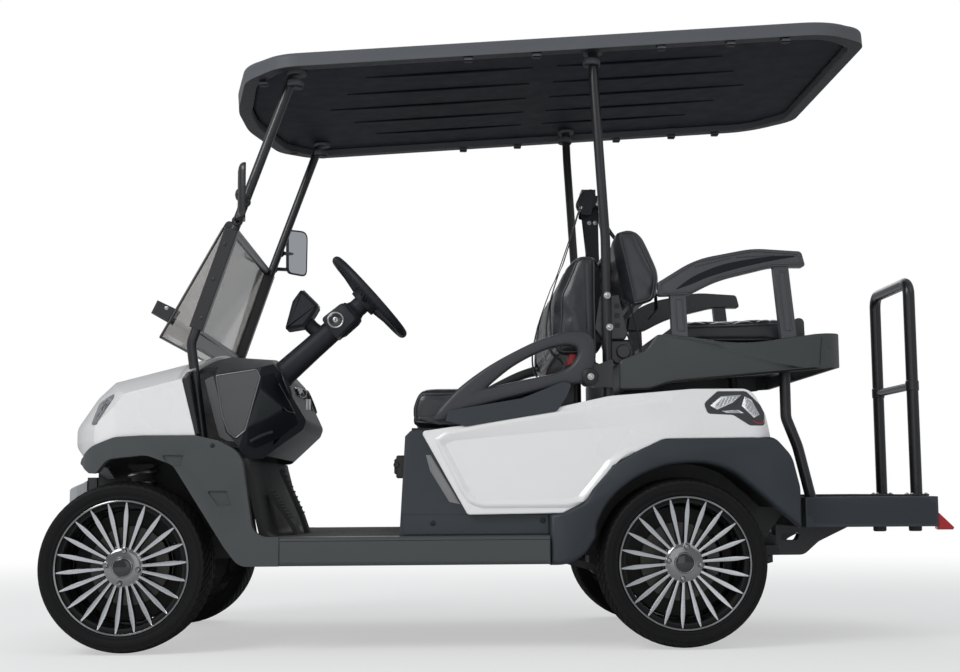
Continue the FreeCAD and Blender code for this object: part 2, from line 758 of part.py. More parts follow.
def make_dash():
    """Dashboard with corners that fall back to its rear face, and the cowl that runs to the hood."""
    half = moulding_half
    body = side_plate((
        (252, 960, 0),
        (257, 824, 0),
        (295, 646, 20),
        (327, 608, 20),
        (345, dash_floor_z, 10),
        (388, dash_floor_z, 30),
        (503, 664, 15),
        (514, 692, 25),
        (480, 756, 60),
        (446, 836, 60),
        (398, 898, 30),
        (372, 960, 0),
    ), -half, half)
    crown = dash_crown(half + 5)
    corner = beyond(vec(392, -half, 827), vec(338, -half, 625), vec(505, 190 - half, 700), 600)
    body = body.common(crown).cut(corner).cut(mirrored(corner))
    cowl = box(168, 300, 24 - front_strut_y, front_strut_y - 24, 640, 1000)
    cowl = cowl.common(crown).common(hood_crown(d.hood_wall, 100, 400))
    cavity = cowl.copy()
    cavity.translate(vec(0, 0, -d.hood_wall))
    hollow = side_plate((
        (340, 500, 0),
        (300, 660, 20),
        (285, 850, 20),
        (380, 860, 20),
        (430, 815, 40),
        (462, 750, 30),
        (488, 690, 15),
        (400, 590, 0),
        (400, 500, 0),
    ), 110 - half, half - 110)
    return fused([body, cowl.cut(cavity)]).cut(hollow)


def dash_crown(half):
    """Solid below the dashboard's top: arcs across the cart, flatter towards the rear."""
    ends = []
    # Columns: x, top at the centre, top at the side.
    for x, top, side in ((160, 926, 810), (600, 887, 874)):
        left = vec(x, -half, side)
        right = vec(x, half, side)
        ends.append(Part.Wire([
            Part.Arc(left, vec(x, 0, top), right).toShape(),
            Part.LineSegment(right, vec(x, half, 300)).toShape(),
            Part.LineSegment(vec(x, half, 300), vec(x, -half, 300)).toShape(),
            Part.LineSegment(vec(x, -half, 300), left).toShape(),
        ]))
    return Part.makeLoft(ends, True, True)


# Struts, roof and windshield.

def front_strut_path(side):
    y = side * front_strut_y
    return (
        (cowl_bar_x, y, cowl_bar_z, 0),
        (182, y, 866, 300),
        (174, y, 925, 70),
        (298, y, 1268, 500),
        (front_strut_top[0], y, front_strut_top[1], 0),
    )


def rear_strut_path(side):
    y = side * rear_strut_y
    return (
        (hoop_x, y, hoop_z, 0),
        (hoop_x, y, 1240, 800),
        (rear_strut_top[0] + 4, y, rear_strut_top[1] - 130, 400),
        (rear_strut_top[0], y, rear_strut_top[1], 0),
    )


def make_front_struts():
    """Bent tubes from the cowl bar to the roof, the hinge bar between them and the bottom rail."""
    pieces = [tube(front_strut_path(side), strut_r) for side in (-1, 1)]
    x, z = hinge_point
    pieces.append(rod(vec(x, -front_strut_y, z), vec(x, front_strut_y, z), hinge_r))
    reach = front_strut_y - 6
    rail = box(rail_x - 18, rail_x, -reach, reach, d.hood_top + 8, windshield_foot)
    return fused(pieces + [rail])


def sheet_between(start, end, thickness, half):
    """Flat sheet across the cart along a side-view line."""
    run = vec(end[0] - start[0], 0, end[1] - start[1])
    across = vec(-run.z, 0, run.x)
    across.normalize()
    across.multiply(thickness / 2)
    a = vec(start[0], -half, start[1])
    corners = [a + across, a + across + run, a - across + run, a - across]
    return Part.Face(Part.makePolygon(corners + corners[:1])).extrude(vec(0, 2 * half, 0))


def toward(start, end, distance):
    """Point at a distance from start on the line to end."""
    run = vec(end[0] - start[0], 0, end[1] - start[1])
    run.normalize()
    return (start[0] + run.x * distance, start[1] + run.z * distance)


def make_windshield():
    """Lower sheet between the struts and the upper sheet folded down in front of it."""
    half = front_strut_y - strut_r - 2
    foot = (rail_x - 9, windshield_foot)
    lower = sheet_between(foot, toward(hinge_point, foot, 5), d.glass_thickness, half)
    upper = sheet_between(fold_top, fold_point, d.glass_thickness, half)
    foot_cut = box(0, 400, -half, half, 0, windshield_foot)
    bar = rod(vec(hinge_point[0], -half, hinge_point[1]), vec(hinge_point[0], half, hinge_point[1]), hinge_r)
    return Part.Compound([lower.cut(foot_cut).cut(bar), upper.cut(bar)])


def make_rear_struts():
    """Roof struts joined by cross tubes, with seat-back brackets and the belt post."""
    pieces = [tube(rear_strut_path(side), strut_r) for side in (-1, 1)]
    for z in seat_tube_heights:
        pieces.append(rod(vec(hoop_x, -rear_strut_y, z), vec(hoop_x, rear_strut_y, z), 12))
        for side in (-1, 1):
            y = side * 0.6 * seat_half
            pieces.append(box(front_back_rear, hoop_x, y - 25, y + 25, z - 12, z + 12))
            pieces.append(box(hoop_x, hoop_x + 85, y - 25, y + 25, z - 12, z + 12))
    pieces.append(rod(vec(hoop_x, 0, seat_tube_heights[0]), vec(hoop_x, 0, 1470), 12))
    pieces.append(box(hoop_x - 26, hoop_x + 22, -40, 40, 1440, 1492))
    for side in (-1, 1):
        inner, outer = sorted((side * rear_strut_y, side * (restraint_y + d.restraint_width - 4)))
        pin = rod(vec(pivot_x, inner, pivot_z), vec(pivot_x, outer, pivot_z), pivot_r)
        plate_low, plate_high = sorted((side * (rear_strut_y - 10), side * (restraint_y - 6)))
        plate = side_plate((
            (pivot_x - 22, pivot_z - 22, 18),
            (hoop_x + 14, pivot_z - 30, 6),
            (hoop_x + 14, pivot_z + 60, 6),
            (pivot_x - 22, pivot_z + 22, 18),
        ), plate_low, plate_high)
        pieces.extend([pin, plate])
    return fused(pieces)


def make_roof():
    """Moulded roof: rounded plan, crowned top, hollow below with ribs, and sockets for the struts."""
    half = half_body + d.roof_overhang
    unit = half / 60
    lip = 40

    def plan(inset):
        edge = half - inset
        front = (
            (19 * unit + inset * 0.3, edge, 13 * unit - inset),
            (7 * unit + inset * 0.8, edge - 13 * unit, 17 * unit - inset),
            (inset, edge - 47 * unit, edge),
        )
        rear = (
            (d.roof_length - inset, edge - 13 * unit, 11 * unit - inset * 0.5),
            (d.roof_length - 15 * unit, edge, 22 * unit - inset),
        )
        near = tuple((x, -y, turn) for x, y, turn in front)
        return near + front[::-1] + rear[::-1] + tuple((x, -y, turn) for x, y, turn in rear)

    crown = 24
    top = crowned(-10, d.roof_length + 10, half + 5, crown, 0, crown, -d.roof_depth - 10)
    under = crowned(-10, d.roof_length + 10, half + 5, crown - d.roof_skin, 0, crown, -d.roof_depth - 10)
    outer = plan_plate(plan(0), -d.roof_depth, crown + 10).common(top)
    outer = outer.makeFillet(20, [e for e in outer.Edges if all(v.Z > -8 for v in e.Vertexes)])
    cavity = plan_plate(plan(lip), -d.roof_depth - 1, crown + 10).common(under)
    roof = outer.cut(cavity)
    ribs = [
        box(lip + 60, d.roof_length - lip - 60, y - 20, y + 20, -18, crown)
        for y in (-half / 2, 0, half / 2)
    ]
    ribs += [box(x - 20, x + 20, lip + 40 - half, half - lip - 40, -18, crown)
             for x in (500, 1120, d.roof_length - 380)]
    roof = roof.fuse(fused(ribs).common(cavity))
    return roof


def place_roof():
    slope = FreeCAD.Rotation(Y_AXIS, -d.roof_slope)
    return FreeCAD.Placement(vec(d.roof_front, 0, d.roof_height), slope)


def seat_roof(roof, struts):
    """Roof in place, with a socket around the end of each strut."""
    place = place_roof()
    placed = roof.copy()
    placed.Placement = place
    sockets = []
    for x, z, y in (
        (*front_strut_top, front_strut_y),
        (*rear_strut_top, rear_strut_y),
    ):
        for side in (-1, 1):
            local = place.inverse().multVec(vec(x, side * y, z))
            sockets.append(rod(vec(local.x, local.y, -34), vec(local.x, local.y, 4), 30))
    socket = fused(sockets)
    socket.Placement = place
    placed = placed.fuse(socket).cut(struts)
    return placed.removeSplitter()


# Seats and body.

def make_seat_base(rear_body, flares):
    """Hollow box under the bench, open below, with the cushion's side covers and the seat's hinge pins."""
    half = panel_inner
    wall = d.deck_thickness
    outline = (
        (seat_front - 17, floor_top, 0),
        (seat_front, d.seat_deck - 18, 0),
        (seat_front + 18, d.seat_deck, 12),
        (seat_back_deck, d.seat_deck, 0),
        (seat_back_deck, floor_top, 0),
    )
    inner = (
        (seat_front - 17 + wall, floor_top - 1, 0),
        (seat_front + wall, d.seat_deck - 18, 0),
        (seat_front + 18, d.seat_deck - wall, 8),
        (seat_back_deck - wall, d.seat_deck - wall, 0),
        (seat_back_deck - wall, floor_top - 1, 0),
    )
    base = side_plate(outline, -half, half).cut(side_plate(inner, wall - half, half - wall))
    valance = side_plate((
        (d.wheelbase - 708, 676, 0),
        (d.wheelbase - 648, 659, 20),
        (d.wheelbase - 376, 703, 20),
        (d.wheelbase - 348, 745, 20),
        (d.wheelbase - 330, 785, 10),
        (d.wheelbase - 360, 790, 10),
        (d.wheelbase - 480, 742, 60),
        (d.wheelbase - 700, 706, 10),
    ), -panel_outer - 6, -panel_outer)
    base = base.cut(rear_body).cut(flares)
    for side in (-1, 1):
        base = base.fuse(valance if side < 0 else mirrored(valance))
        for reach in (board_ear_y - 2 * board_ear - 2, board_ear_y + 2):
            low, high = sorted((side * reach, side * (reach + board_ear)))
            base = base.fuse(hinge_lug(lift_x, lift_z, d.seat_deck, lift_r + 4, low, high))
        low, high = sorted((side * (board_ear_y - 2 * board_ear - 2), side * (board_ear_y + board_ear + 2)))
        base = base.fuse(rod(vec(lift_x, low, lift_z), vec(lift_x, high, lift_z), lift_r))
    return base.removeSplitter()


def hinge_lug(x, z, foot, r, y_from, y_to):
    """Upright lug with a round head."""
    head = rod(vec(x, y_from, z), vec(x, y_to, z), r)
    return head.fuse(box(x - r, x + r, y_from, y_to, foot, z))


def make_front_board():
    """Board under the front cushion, with ears that turn on the pins behind it."""
    half = seat_half - 10
    low = d.seat_deck
    pieces = [box(seat_front + 18, lift_x - 26, -half, half, low, low + d.board_thickness)]
    for side in (-1, 1):
        y_from, y_to = sorted((side * (board_ear_y - board_ear), side * board_ear_y))
        pieces.append(box(lift_x - 60, lift_x, y_from, y_to, low, low + d.board_thickness))
        pieces.append(rod(vec(lift_x, y_from, lift_z), vec(lift_x, y_to, lift_z), lift_r + 5))
    bore = rod(vec(lift_x, -half, lift_z), vec(lift_x, half, lift_z), lift_r + d.running_clearance)
    return fused(pieces).cut(bore)


def rear_outline(inset):
    """Side outline of the white rear panel."""
    return (
        (d.wheelbase - 782, 646 - inset, 10),
        (d.wheelbase - 644, 399, 12),
        (d.wheelbase - 362, 402, 10),
        (d.wheelbase - 290, 440, 40),
        (d.wheelbase - 215, 545, 60),
        (d.wheelbase - 60, 619, 60),
        (d.wheelbase + 270 - inset, 621, 0),
        (d.wheelbase + 250 - inset, 690 - inset, 30),
        (d.wheelbase + 205 - inset, 768 - inset, 50),
        (d.wheelbase + 30, 768 - inset, 200),
        (d.wheelbase - 220, 748 - inset, 200),
        (d.wheelbase - 370, 716 - inset, 20),
        (d.wheelbase - 398, 705 - inset, 10),
        (d.wheelbase - 650, 664 - inset, 10),
    )


def make_rear_body(flares):
    """White side panels joined behind the bench by a top deck and a rear wall."""
    outer = softened(side_plate(rear_outline(0), -panel_outer, panel_outer), (-panel_outer, panel_outer), 4)
    plan = plan_plate((
        (700, -panel_outer, 0),
        (d.wheelbase + 275, -panel_outer, 70),
        (d.wheelbase + 275, panel_outer, 70),
        (700, panel_outer, 0),
    ), 300, 900)
    outer = outer.common(plan)
    bay = box(600, seat_back_deck, -panel_inner, panel_inner, 300, 900)
    inside = side_plate((
        (seat_back_deck - 1, 300, 0),
        (seat_back_deck - 1, 728, 0),
        (d.wheelbase - 220, 732, 0),
        (d.wheelbase + 30, 750, 100),
        (d.wheelbase + 190, 750, 40),
        (d.wheelbase + 236, 680, 30),
        (d.wheelbase + 250, 300, 0),
    ), -panel_inner, panel_inner)
    struts = [
        rod(vec(hoop_x, side * rear_strut_y, 600), vec(hoop_x, side * rear_strut_y, 900), strut_r + 1)
        for side in (-1, 1)
    ]
    body = outer.cut(bay).cut(inside).cut(fused(struts)).cut(flares)
    lamps = lamp_region()
    lamp = outer.cut(side_plate(rear_outline(0), -panel_inner, panel_inner)).common(lamps)
    return body.cut(lamps), lamp


def lamp_region():
    """Prisms of the tail lamps at the panel's upper rear corners."""
    near = side_plate((
        (d.wheelbase + 63, 724, 14),
        (d.wheelbase + 104, 760, 12),
        (d.wheelbase + 190, 760, 20),
        (d.wheelbase + 246, 706, 20),
        (d.wheelbase + 247, 657, 10),
        (d.wheelbase + 200, 657, 20),
        (d.wheelbase + 150, 689, 20),
        (d.wheelbase + 74, 693, 14),
    ), -half_body, -panel_inner)
    return near.fuse(mirrored(near))


def make_flares():
    """Dark rear arches: from the sill, up round the tyre and down to the step."""
    r = tyre_r + d.arch_gap
    centre = d.wheelbase
    blank = side_plate((
        (sill_end, sill_bottom, 0),
        (centre, sill_bottom, 0),
        (centre + 345, 300, 0),
        (centre + 345, 346, 0),
        (centre + 348, d.step_top + 30, 60),
        (centre + 326, 560, 50),
        (centre + 270, 621, 20),
        (centre - 55, 620, 60),
        (centre - 215, 545, 60),
        (centre - 290, 440, 40),
        (d.wheelbase - 362, 401, 10),
        (sill_end, 398, 0),
    ), -half_body, 45 - half_body)
    arch = rod(vec(centre, -half_body - 1, tyre_r), vec(centre, -half_body + 60, tyre_r), r)
    behind = side_plate((
        (centre, 200, 0),
        (centre, tyre_r + r, 0),
        (centre + r * math.sin(math.radians(42)), tyre_r + r * math.cos(math.radians(42)), 0),
        (centre + 345, 346, 0),
        (centre + 440, 250, 0),
        (centre + 440, 200, 0),
    ), -half_body - 1, -half_body + 60)
    low = side_plate((
        (d.wheelbase - 350, 200, 0),
        (d.wheelbase - 350, 248, 10),
        (d.wheelbase - 288, 290, 30),
        (d.wheelbase - 260, 345, 0),
        (d.wheelbase - 160, 345, 0),
        (d.wheelbase - 160, 200, 0),
    ), -half_body - 1, -half_body + 60)
    flare = softened(blank.cut(arch).cut(behind).cut(low), (-half_body,), 10)
    return both_sides(flare)


def softened(shape, sides, radius):
    """Shape with the edges of its faces at the y values in sides rounded."""
    rims = []
    for edge in shape.Edges:
        for y in sides:
            points = [edge.CenterOfMass] + [v.Point for v in edge.Vertexes]
            if all(abs(point.y - y) < 0.05 for point in points):
                rims.append(edge)
    return shape.makeFillet(radius, rims)


def soft_block(corners, half, edge):
    """Plain solid of a cushion: side outline across the cart, its side faces' edges rounded."""
    return softened(side_plate(corners, -half, half), (-half, half), edge)


def make_front_seat():
    low = d.seat_deck + d.board_thickness + d.soft_gap
    high = low + d.cushion_thickness
    front = seat_front + 10
    rear = front + d.cushion_depth
    cushion = soft_block((
        (front, low, 12),
        (rear, low, 0),
        (rear, high, 25),
        (front + 20, high, 45),
        (front, high - 55, 30),
    ), seat_half, 8)
    back = soft_block((
        (d.wheelbase - 377, back_foot, 25),
        (d.wheelbase - 364, back_foot + 193, 150),
        (d.wheelbase - 306, back_foot + d.back_height, 40),
        (front_back_rear - d.soft_gap, back_foot + d.back_height, 35),
        (front_back_rear - d.soft_gap, back_foot, 20),
    ), seat_half, 14)
    return cushion, back


def make_rear_back():
    return soft_block((
        (d.wheelbase - 188, 1276, 18),
        (d.wheelbase - 112, 1290, 45),
        (d.wheelbase - 46, 1130, 110),
        (d.wheelbase - 56, 1038, 40),
        (d.wheelbase - 136, 1020, 15),
    ), seat_half - 5, 12)


def make_rear_tray():
    """Moulded base of the rear bench: dipped rim, well for the cushion, and the cushion's hinge lugs."""
    half = moulding_half
    rim = d.tray_top
    rear = d.wheelbase + 520
    body = side_plate((
        (d.wheelbase - 180, 770, 10),
        (d.wheelbase - 88, 772, 60),
        (d.wheelbase - 30, 791, 60),
        (rear - 2, 840, 12),
        (rear, rim + 6, 12),
        (d.wheelbase + 423, rim, 120),
        (d.wheelbase + 200, rim - 32, 600),
        (d.wheelbase - 20, rim, 60),
        (d.wheelbase - 62, rim, 20),
        (d.wheelbase - 98, 892, 30),
        (d.wheelbase - 180, 860, 20),
    ), -half, half)
    body = softened(body, (-half, half), 8)
    plan = plan_plate((
        (d.wheelbase - 260, -half, 0),
        (rear + 1, -half, 110),
        (rear + 1, half, 110),
        (d.wheelbase - 260, half, 0),
    ), 600, 1100)
    body = body.common(plan)
    well_half = rear_cushion_half + 8
    well = box(rear_cushion_front - 22, flip_x + 18, -well_half, well_half, board_bottom - 2, 1100)
    below = side_plate((
        (d.wheelbase - 160, 700, 0),
        (d.wheelbase - 160, 760, 0),
        (d.wheelbase - 20, 800, 20),
        (rear - 40, 842, 10),
        (rear - 40, 700, 0),
    ), 30 - half, half - 30)
    hollow = side_plate((
        (d.wheelbase - 160, 700, 0),
        (d.wheelbase - 160, 846, 10),
        (d.wheelbase - 70, 880, 10),
        (rear - 22, 886, 10),
        (rear - 22, 700, 0),
    ), 16 - half, half - 16)
    body = body.cut(well).cut(hollow)
    lugs = []
    for side in (-1, 1):
        low, high = sorted((side * well_half, side * (well_half + 14)))
        lugs.append(side_plate((
            (flip_x - 18, rim - 40, 0),
            (flip_x + 18, rim - 40, 0),
            (flip_x + 16, flip_z + 16, 15),
            (flip_x - 16, flip_z + 16, 15),
        ), low, high))
        start, end = sorted((side * (well_half - 14), side * (well_half + 5)))
        lugs.append(rod(vec(flip_x, start, flip_z), vec(flip_x, end, flip_z), flip_r))
    return fused([body] + lugs)


def make_rear_cushion():
    """Rear bench cushion and the board under it, whose ears turn on the tray's pins."""
    half = rear_cushion_half - 8
    top = board_bottom + 12
    rear = rear_cushion_front + d.rear_cushion_depth
    cushion = soft_block((
        (rear_cushion_front, top + d.soft_gap, 10),
        (rear, top + d.soft_gap, 10),
        (rear, top + d.rear_cushion_thickness, 25),
        (rear_cushion_front, top + d.rear_cushion_thickness - 10, 25),
    ), half, 8)
    board = box(rear_cushion_front, rear, -half, half, board_bottom, top)
    well_half = rear_cushion_half + 8
    for side in (-1, 1):
        low, high = sorted((side * (half - 2), side * (well_half - 3)))
        foot = box(rear - 50, rear, low, high, board_bottom, top)
        ear_low, ear_high = sorted((side * (half + 4), side * (well_half - 3)))
        ear = side_plate((
            (rear - 50, board_bottom, 0),
            (rear, board_bottom, 4),
            (flip_x + 13, flip_z, 4),
            (flip_x + 9, flip_z + 13, 8),
            (flip_x - 13, flip_z + 13, 8),
        ), ear_low, ear_high)
        board = fused([board, foot, ear])
    pins = rod(vec(flip_x, -well_half, flip_z), vec(flip_x, well_half, flip_z), flip_r + d.running_clearance)
    return cushion, board.cut(pins)


def make_armrest():
    """Rear armrest: an arched rail on two posts that stand on the tray's rim."""
    y_from = -moulding_half + 4
    y_to = y_from + d.armrest_width
    rail = side_plate((
        (d.wheelbase - 57, 1100, 8),
        (d.wheelbase + 60, 1172, 300),
        (d.wheelbase + 240, 1206, 300),
        (d.wheelbase + 390, 1196, 14),
        (d.wheelbase + 402, 1148, 8),
        (d.wheelbase + 300, 1149, 200),
        (d.wheelbase + 130, 1108, 400),
        (d.wheelbase + 40, 1062, 30),
        (d.wheelbase - 54, 1060, 8),
    ), y_from, y_to)
    front = side_plate((
        (d.wheelbase - 18, 1070, 0),
        (d.wheelbase + 30, 1070, 0),
        (d.wheelbase + 36, 880, 0),
        (d.wheelbase - 12, 880, 0),
    ), y_from + 6, y_to - 6)
    rear = side_plate((
        (d.wheelbase + 302, 1160, 0),
        (d.wheelbase + 348, 1160, 0),
        (d.wheelbase + 374, 880, 0),
        (d.wheelbase + 326, 880, 0),
    ), y_from + 6, y_to - 6)
    return softened(fused([rail, front, rear]), (y_from, y_to), 5)


def make_restraint(side):
    """Hip restraint: a tapered loop that turns up about a pin on the rear strut."""
    y_from = -restraint_y - d.restraint_width
    y_to = -restraint_y
    loop = side_plate((
        (d.wheelbase - 742, 694, 6),
        (d.wheelbase - 580, 858, 120),
        (d.wheelbase - 410, 942, 180),
        (d.wheelbase - 255, 962, 40),
        (d.wheelbase - 240, 870, 40),
        (pivot_x + 24, pivot_z - 22, 20),
        (d.wheelbase - 330, 796, 40),
        (d.wheelbase - 480, 756, 120),
        (d.wheelbase - 650, 718, 60),
        (d.wheelbase - 692, 690, 8),
    ), y_from, y_to)
    window = side_plate((
        (d.wheelbase - 582, 788, 10),
        (d.wheelbase - 530, 826, 60),
        (d.wheelbase - 398, 884, 150),
        (d.wheelbase - 298, 904, 24),
        (d.wheelbase - 292, 842, 24),
        (d.wheelbase - 420, 802, 80),
    ), y_from - 1, y_to + 1)
    bore = rod(
        vec(pivot_x, y_from - 1, pivot_z),
        vec(pivot_x, y_to + 1, pivot_z),
        pivot_r + d.running_clearance,
    )
    shape = softened(loop.cut(window), (y_from, y_to), 9).cut(bore)
    return shape if side < 0 else mirrored(shape)


def make_step():
    """Rear step: a moulding with a swept rear edge, hollow below."""
    half = moulding_half
    low = d.step_top - d.step_depth
    side_x = step_rear - d.step_sweep

    def blank(inset, z_from, z_to):
        edges = [
            Part.LineSegment(vec(step_front + inset, inset - half, z_from),
                             vec(side_x - inset, inset - half, z_from)).toShape(),
            Part.Arc(vec(side_x - inset, inset - half, z_from), vec(step_rear - inset, 0, z_from),
                     vec(side_x - inset, half - inset, z_from)).toShape(),
            Part.LineSegment(vec(side_x - inset, half - inset, z_from),
                             vec(step_front + inset, half - inset, z_from)).toShape(),
            Part.LineSegment(vec(step_front + inset, half - inset, z_from),
                             vec(step_front + inset, inset - half, z_from)).toShape(),
        ]
        return Part.Face(Part.Wire(edges)).extrude(vec(0, 0, z_to - z_from))

    tread = box(
        step_front + 30, bar_x - d.bar_diameter / 2 - 15,
        150 - moulding_half, moulding_half - 150,
        d.step_top - 1, d.step_top + d.tread_height,
    )
    return blank(0, low, d.step_top).cut(blank(10, low - 1, d.step_top - 10)).fuse(tread)


def make_grab_bar():
    """Upturned U of tube with a cross bar, standing on the step."""
    y = d.bar_spacing / 2
    r = d.bar_diameter / 2
    hoop = tube((
        (bar_x, -y, d.step_top, 0),
        (bar_x, -y, d.bar_top, 42),
        (bar_x, y, d.bar_top, 42),
        (bar_x, y, d.step_top, 0),
    ), r)
    cross = rod(vec(bar_x, -y, bar_cross_z), vec(bar_x, y, bar_cross_z), 13)
    feet = [
        rod(vec(bar_x, side * y, d.step_top), vec(bar_x, side * y, d.step_top + 6), r + 9)
        for side in (-1, 1)
    ]
    return fused([hoop, cross] + feet)


def make_rear_supports(neighbours):
    """Bent tubes from the rear seat moulding to the step, and the brackets under the step."""
    pieces = []
    for side in (-1, 1):
        y = side * (moulding_half - 120)
        pieces.append(tube((
            (d.wheelbase + 354, y, 886, 0),
            (d.wheelbase + 354, y, 690, 60),
            (d.wheelbase + 388, y, 600, 200),
            (d.wheelbase + 425, y, d.step_top - 4, 0),
        ), 17).cut(neighbours))
        low, high = sorted((
            side * (d.rail_spacing - d.rail_width) / 2,
            side * (d.rail_spacing + d.rail_width) / 2,
        ))
        bracket = side_plate((
            (rail_end, d.rail_bottom - 4, 0),
            (rail_end + 90, d.rail_bottom - 4, 40),
            (d.wheelbase + 490, 300, 60),
            (d.wheelbase + 602, d.step_top - d.step_depth, 0),
            (rail_end, d.step_top - d.step_depth, 0),
        ), low, high)
        hole = side_plate((
            (rail_end + 18, 306, 6),
            (d.wheelbase + 420, 304, 10),
            (d.wheelbase + 434, 330, 6),
            (rail_end + 18, 326, 6),
        ), low, high)
        pieces.append(bracket.cut(hole))
    return Part.Compound(pieces)


def make_column(dash):
    """Steering column with its shaft end, switch box and the round instrument pod on a neck."""
    def at(distance):
        return vec(wheel_x, -d.column_offset, wheel_z) - axis * distance

    axis = steering_axis
    shaft = rod(at(370), at(22), 12)
    jacket = rod(at(385), at(140), 36)
    head = rod(at(150), at(62), 42)
    pod = rod(vec(545, -d.column_offset, 1078), vec(455, -d.column_offset, 1004), 44)
    neck = rod(vec(500, -d.column_offset, 1041), at(120), 18)
    return fused([shaft, jacket, head, pod, neck]).cut(dash)


def make_steering_wheel():
    """Rim, hub and three spokes, turned onto the column's axis."""
    centre = vec(wheel_x, -d.column_offset, wheel_z)
    ring_r = (d.steering_diameter - d.steering_grip) / 2
    pieces = [
        Part.makeTorus(ring_r, d.steering_grip / 2),
        Part.makeCylinder(44, 26, vec(0, 0, -32)),
        Part.makeCylinder(30, 32, vec(0, 0, -56)),
    ]
    for angle in (0, 180, 270):
        turn = FreeCAD.Rotation(Z_AXIS, angle)
        start = turn.multVec(vec(30, 0, -20))
        end = turn.multVec(vec(ring_r, 0, 0))
        pieces.append(rod(start, end, 10))
    wheel = fused(pieces)
    wheel = wheel.cut(Part.makeCylinder(12 + d.running_clearance, 40, vec(0, 0, -60)))
    turn = FreeCAD.Rotation(Z_AXIS, steering_axis)
    return wheel, FreeCAD.Placement(centre, turn)


def make_pedals():
    """Accelerator and brake: bent plates standing on the floor ahead of the toe board."""
    accelerator = side_plate((
        (414, 540, 4), (424, 545, 4), (492, 396, 10),
        (512, floor_top, 0), (498, floor_top, 0), (480, 392, 10),
    ), -190, -120)
    brake = side_plate((
        (398, 470, 4), (408, 476, 4), (482, 372, 10),
        (496, floor_top, 0), (482, floor_top, 0), (471, 366, 10),
    ), -370, -270)
    return Part.Compound([accelerator, brake])


def make_mirror(side, reach, toe):
    """Mirror head on two arms from the front strut, reach behind the front axle and toed by an angle."""
    y = side * (half_body - 40)
    head = side_plate((
        (-16, -84, 10), (14, -84, 6), (14, 84, 6), (-16, 84, 10),
    ), -57, 57)
    head.Placement = FreeCAD.Placement(vec(reach, y, 1378), FreeCAD.Rotation(Z_AXIS, toe))
    arms = []
    for x, z in ((336, 1362), (312, 1302)):
        arms.append(rod(vec(x, side * (front_strut_y + strut_r - 3), z), vec(reach, y, z + 8), 7))
    return fused([head] + arms)


# Places that several pieces share.
tie_rod_r = 9
tie_rod_z = tyre_r - 52 - 6 - tie_rod_r
tower_top = 560
damper_y = kingpin_y - 90
spring_y = half_track - 235
spring_reach = 330
rail_end = step_front - 25
sill_start_bar = d.sill_start + 45
cowl_bar_x = 216
cowl_bar_z = 612
hoop_x = d.wheelbase - 213
hoop_z = 620
dash_floor_x = 340
dash_floor_z = 570
hood_rear = 172
hood_centre_rear = 230
nose_corner = 110
bumper_rear = -190
front_strut_top = (490, 1792)
rear_strut_top = (d.wheelbase - 244, 1850)
rail_x = 190
windshield_foot = d.hood_top + 58
hinge_point = (286, 1290)
hinge_r = 14
fold_top = (272, 1297)
fold_point = (77, 946)
front_back_rear = d.wheelbase - 229
back_foot = 872
seat_tube_heights = (1000, 1180)
restraint_y = seat_half + d.restraint_gap
pivot_x = d.wheelbase - 274
pivot_z = 806
pivot_r = 8
seat_back_deck = d.wheelbase - 265
lift_x = d.wheelbase - 352
lift_z = 664
lift_r = 6
board_ear_y = seat_half - 180
board_ear = 20
rear_cushion_front = d.wheelbase - 20
board_bottom = 905
flip_x = d.wheelbase + 386
flip_z = 978
flip_r = 6
bar_x = d.wheelbase + 827
bar_cross_z = 803
wheel_x = 711
wheel_z = 1087
steering_axis = vec(math.cos(math.radians(d.column_angle)), 0, math.sin(math.radians(d.column_angle)))

tyre = make_tyre("tyre_front_left")
rim = make_rim("rim_front_left")
tyre_shape = tyre.Shape.copy()
rim_shape = rim.Shape.copy()

# Wheel stations. Columns: name, distance behind the front axle, side (-1 is the cart's left).
STATIONS = (
    ("front_left", 0, -1),
    ("front_right", 0, 1),
    ("rear_left", d.wheelbase, -1),
    ("rear_right", d.wheelbase, 1),
)
for station, along, side in STATIONS:
    facing = FreeCAD.Rotation(Z_AXIS, 0 if side < 0 else 180)
    place = FreeCAD.Placement(vec(along, side * half_track, tyre_r), facing)
    if station == "front_left":
        for body in (tyre, rim):
            body.Placement = FreeCAD.Placement(frame_shift, FreeCAD.Rotation()).multiply(place)
            made.append(body)
    else:
        feature("tyre_" + station, tyre_shape, place)
        feature("rim_" + station, rim_shape, place)

feature("knuckle_left", make_knuckle(-1))
feature("knuckle_right", make_knuckle(1))
feature("front_axle", make_front_axle())
feature("tie_rod", rod(
    vec(d.steering_arm, 14 - kingpin_y, tie_rod_z),
    vec(d.steering_arm, kingpin_y - 14, tie_rod_z),
    tie_rod_r,
))
feature("rear_axle", make_rear_axle())
rails = make_rails()
members = make_cross_members()
feature("frame_rails", rails)
feature("frame_cross_members", members)
feature("floor_pan", make_floor())
make_sill()

shell, headlamps, cladding = make_nose()
front_struts = make_front_struts().cut(members)
feature("hood_shell", shell.cut(front_struts))
feature("headlamps", headlamps)
feature("front_cladding", cladding)
feature("front_bumper", make_bumper())
dash = make_dash().cut(front_struts)
feature("dashboard", dash)
feature("pedals", make_pedals())
feature("front_struts", front_struts)
feature("windshield", make_windshield())
rear_struts = make_rear_struts()
feature("roof", seat_roof(make_roof(), front_struts.fuse(rear_struts)))
feature("mirrors", Part.Compound([
    make_mirror(-1, 346, 8).cut(front_struts),
    make_mirror(1, 391, -28).cut(front_struts),
]))
feature("steering_column", make_column(dash))
wheel, wheel_place = make_steering_wheel()
feature("steering_wheel", wheel, wheel_place)

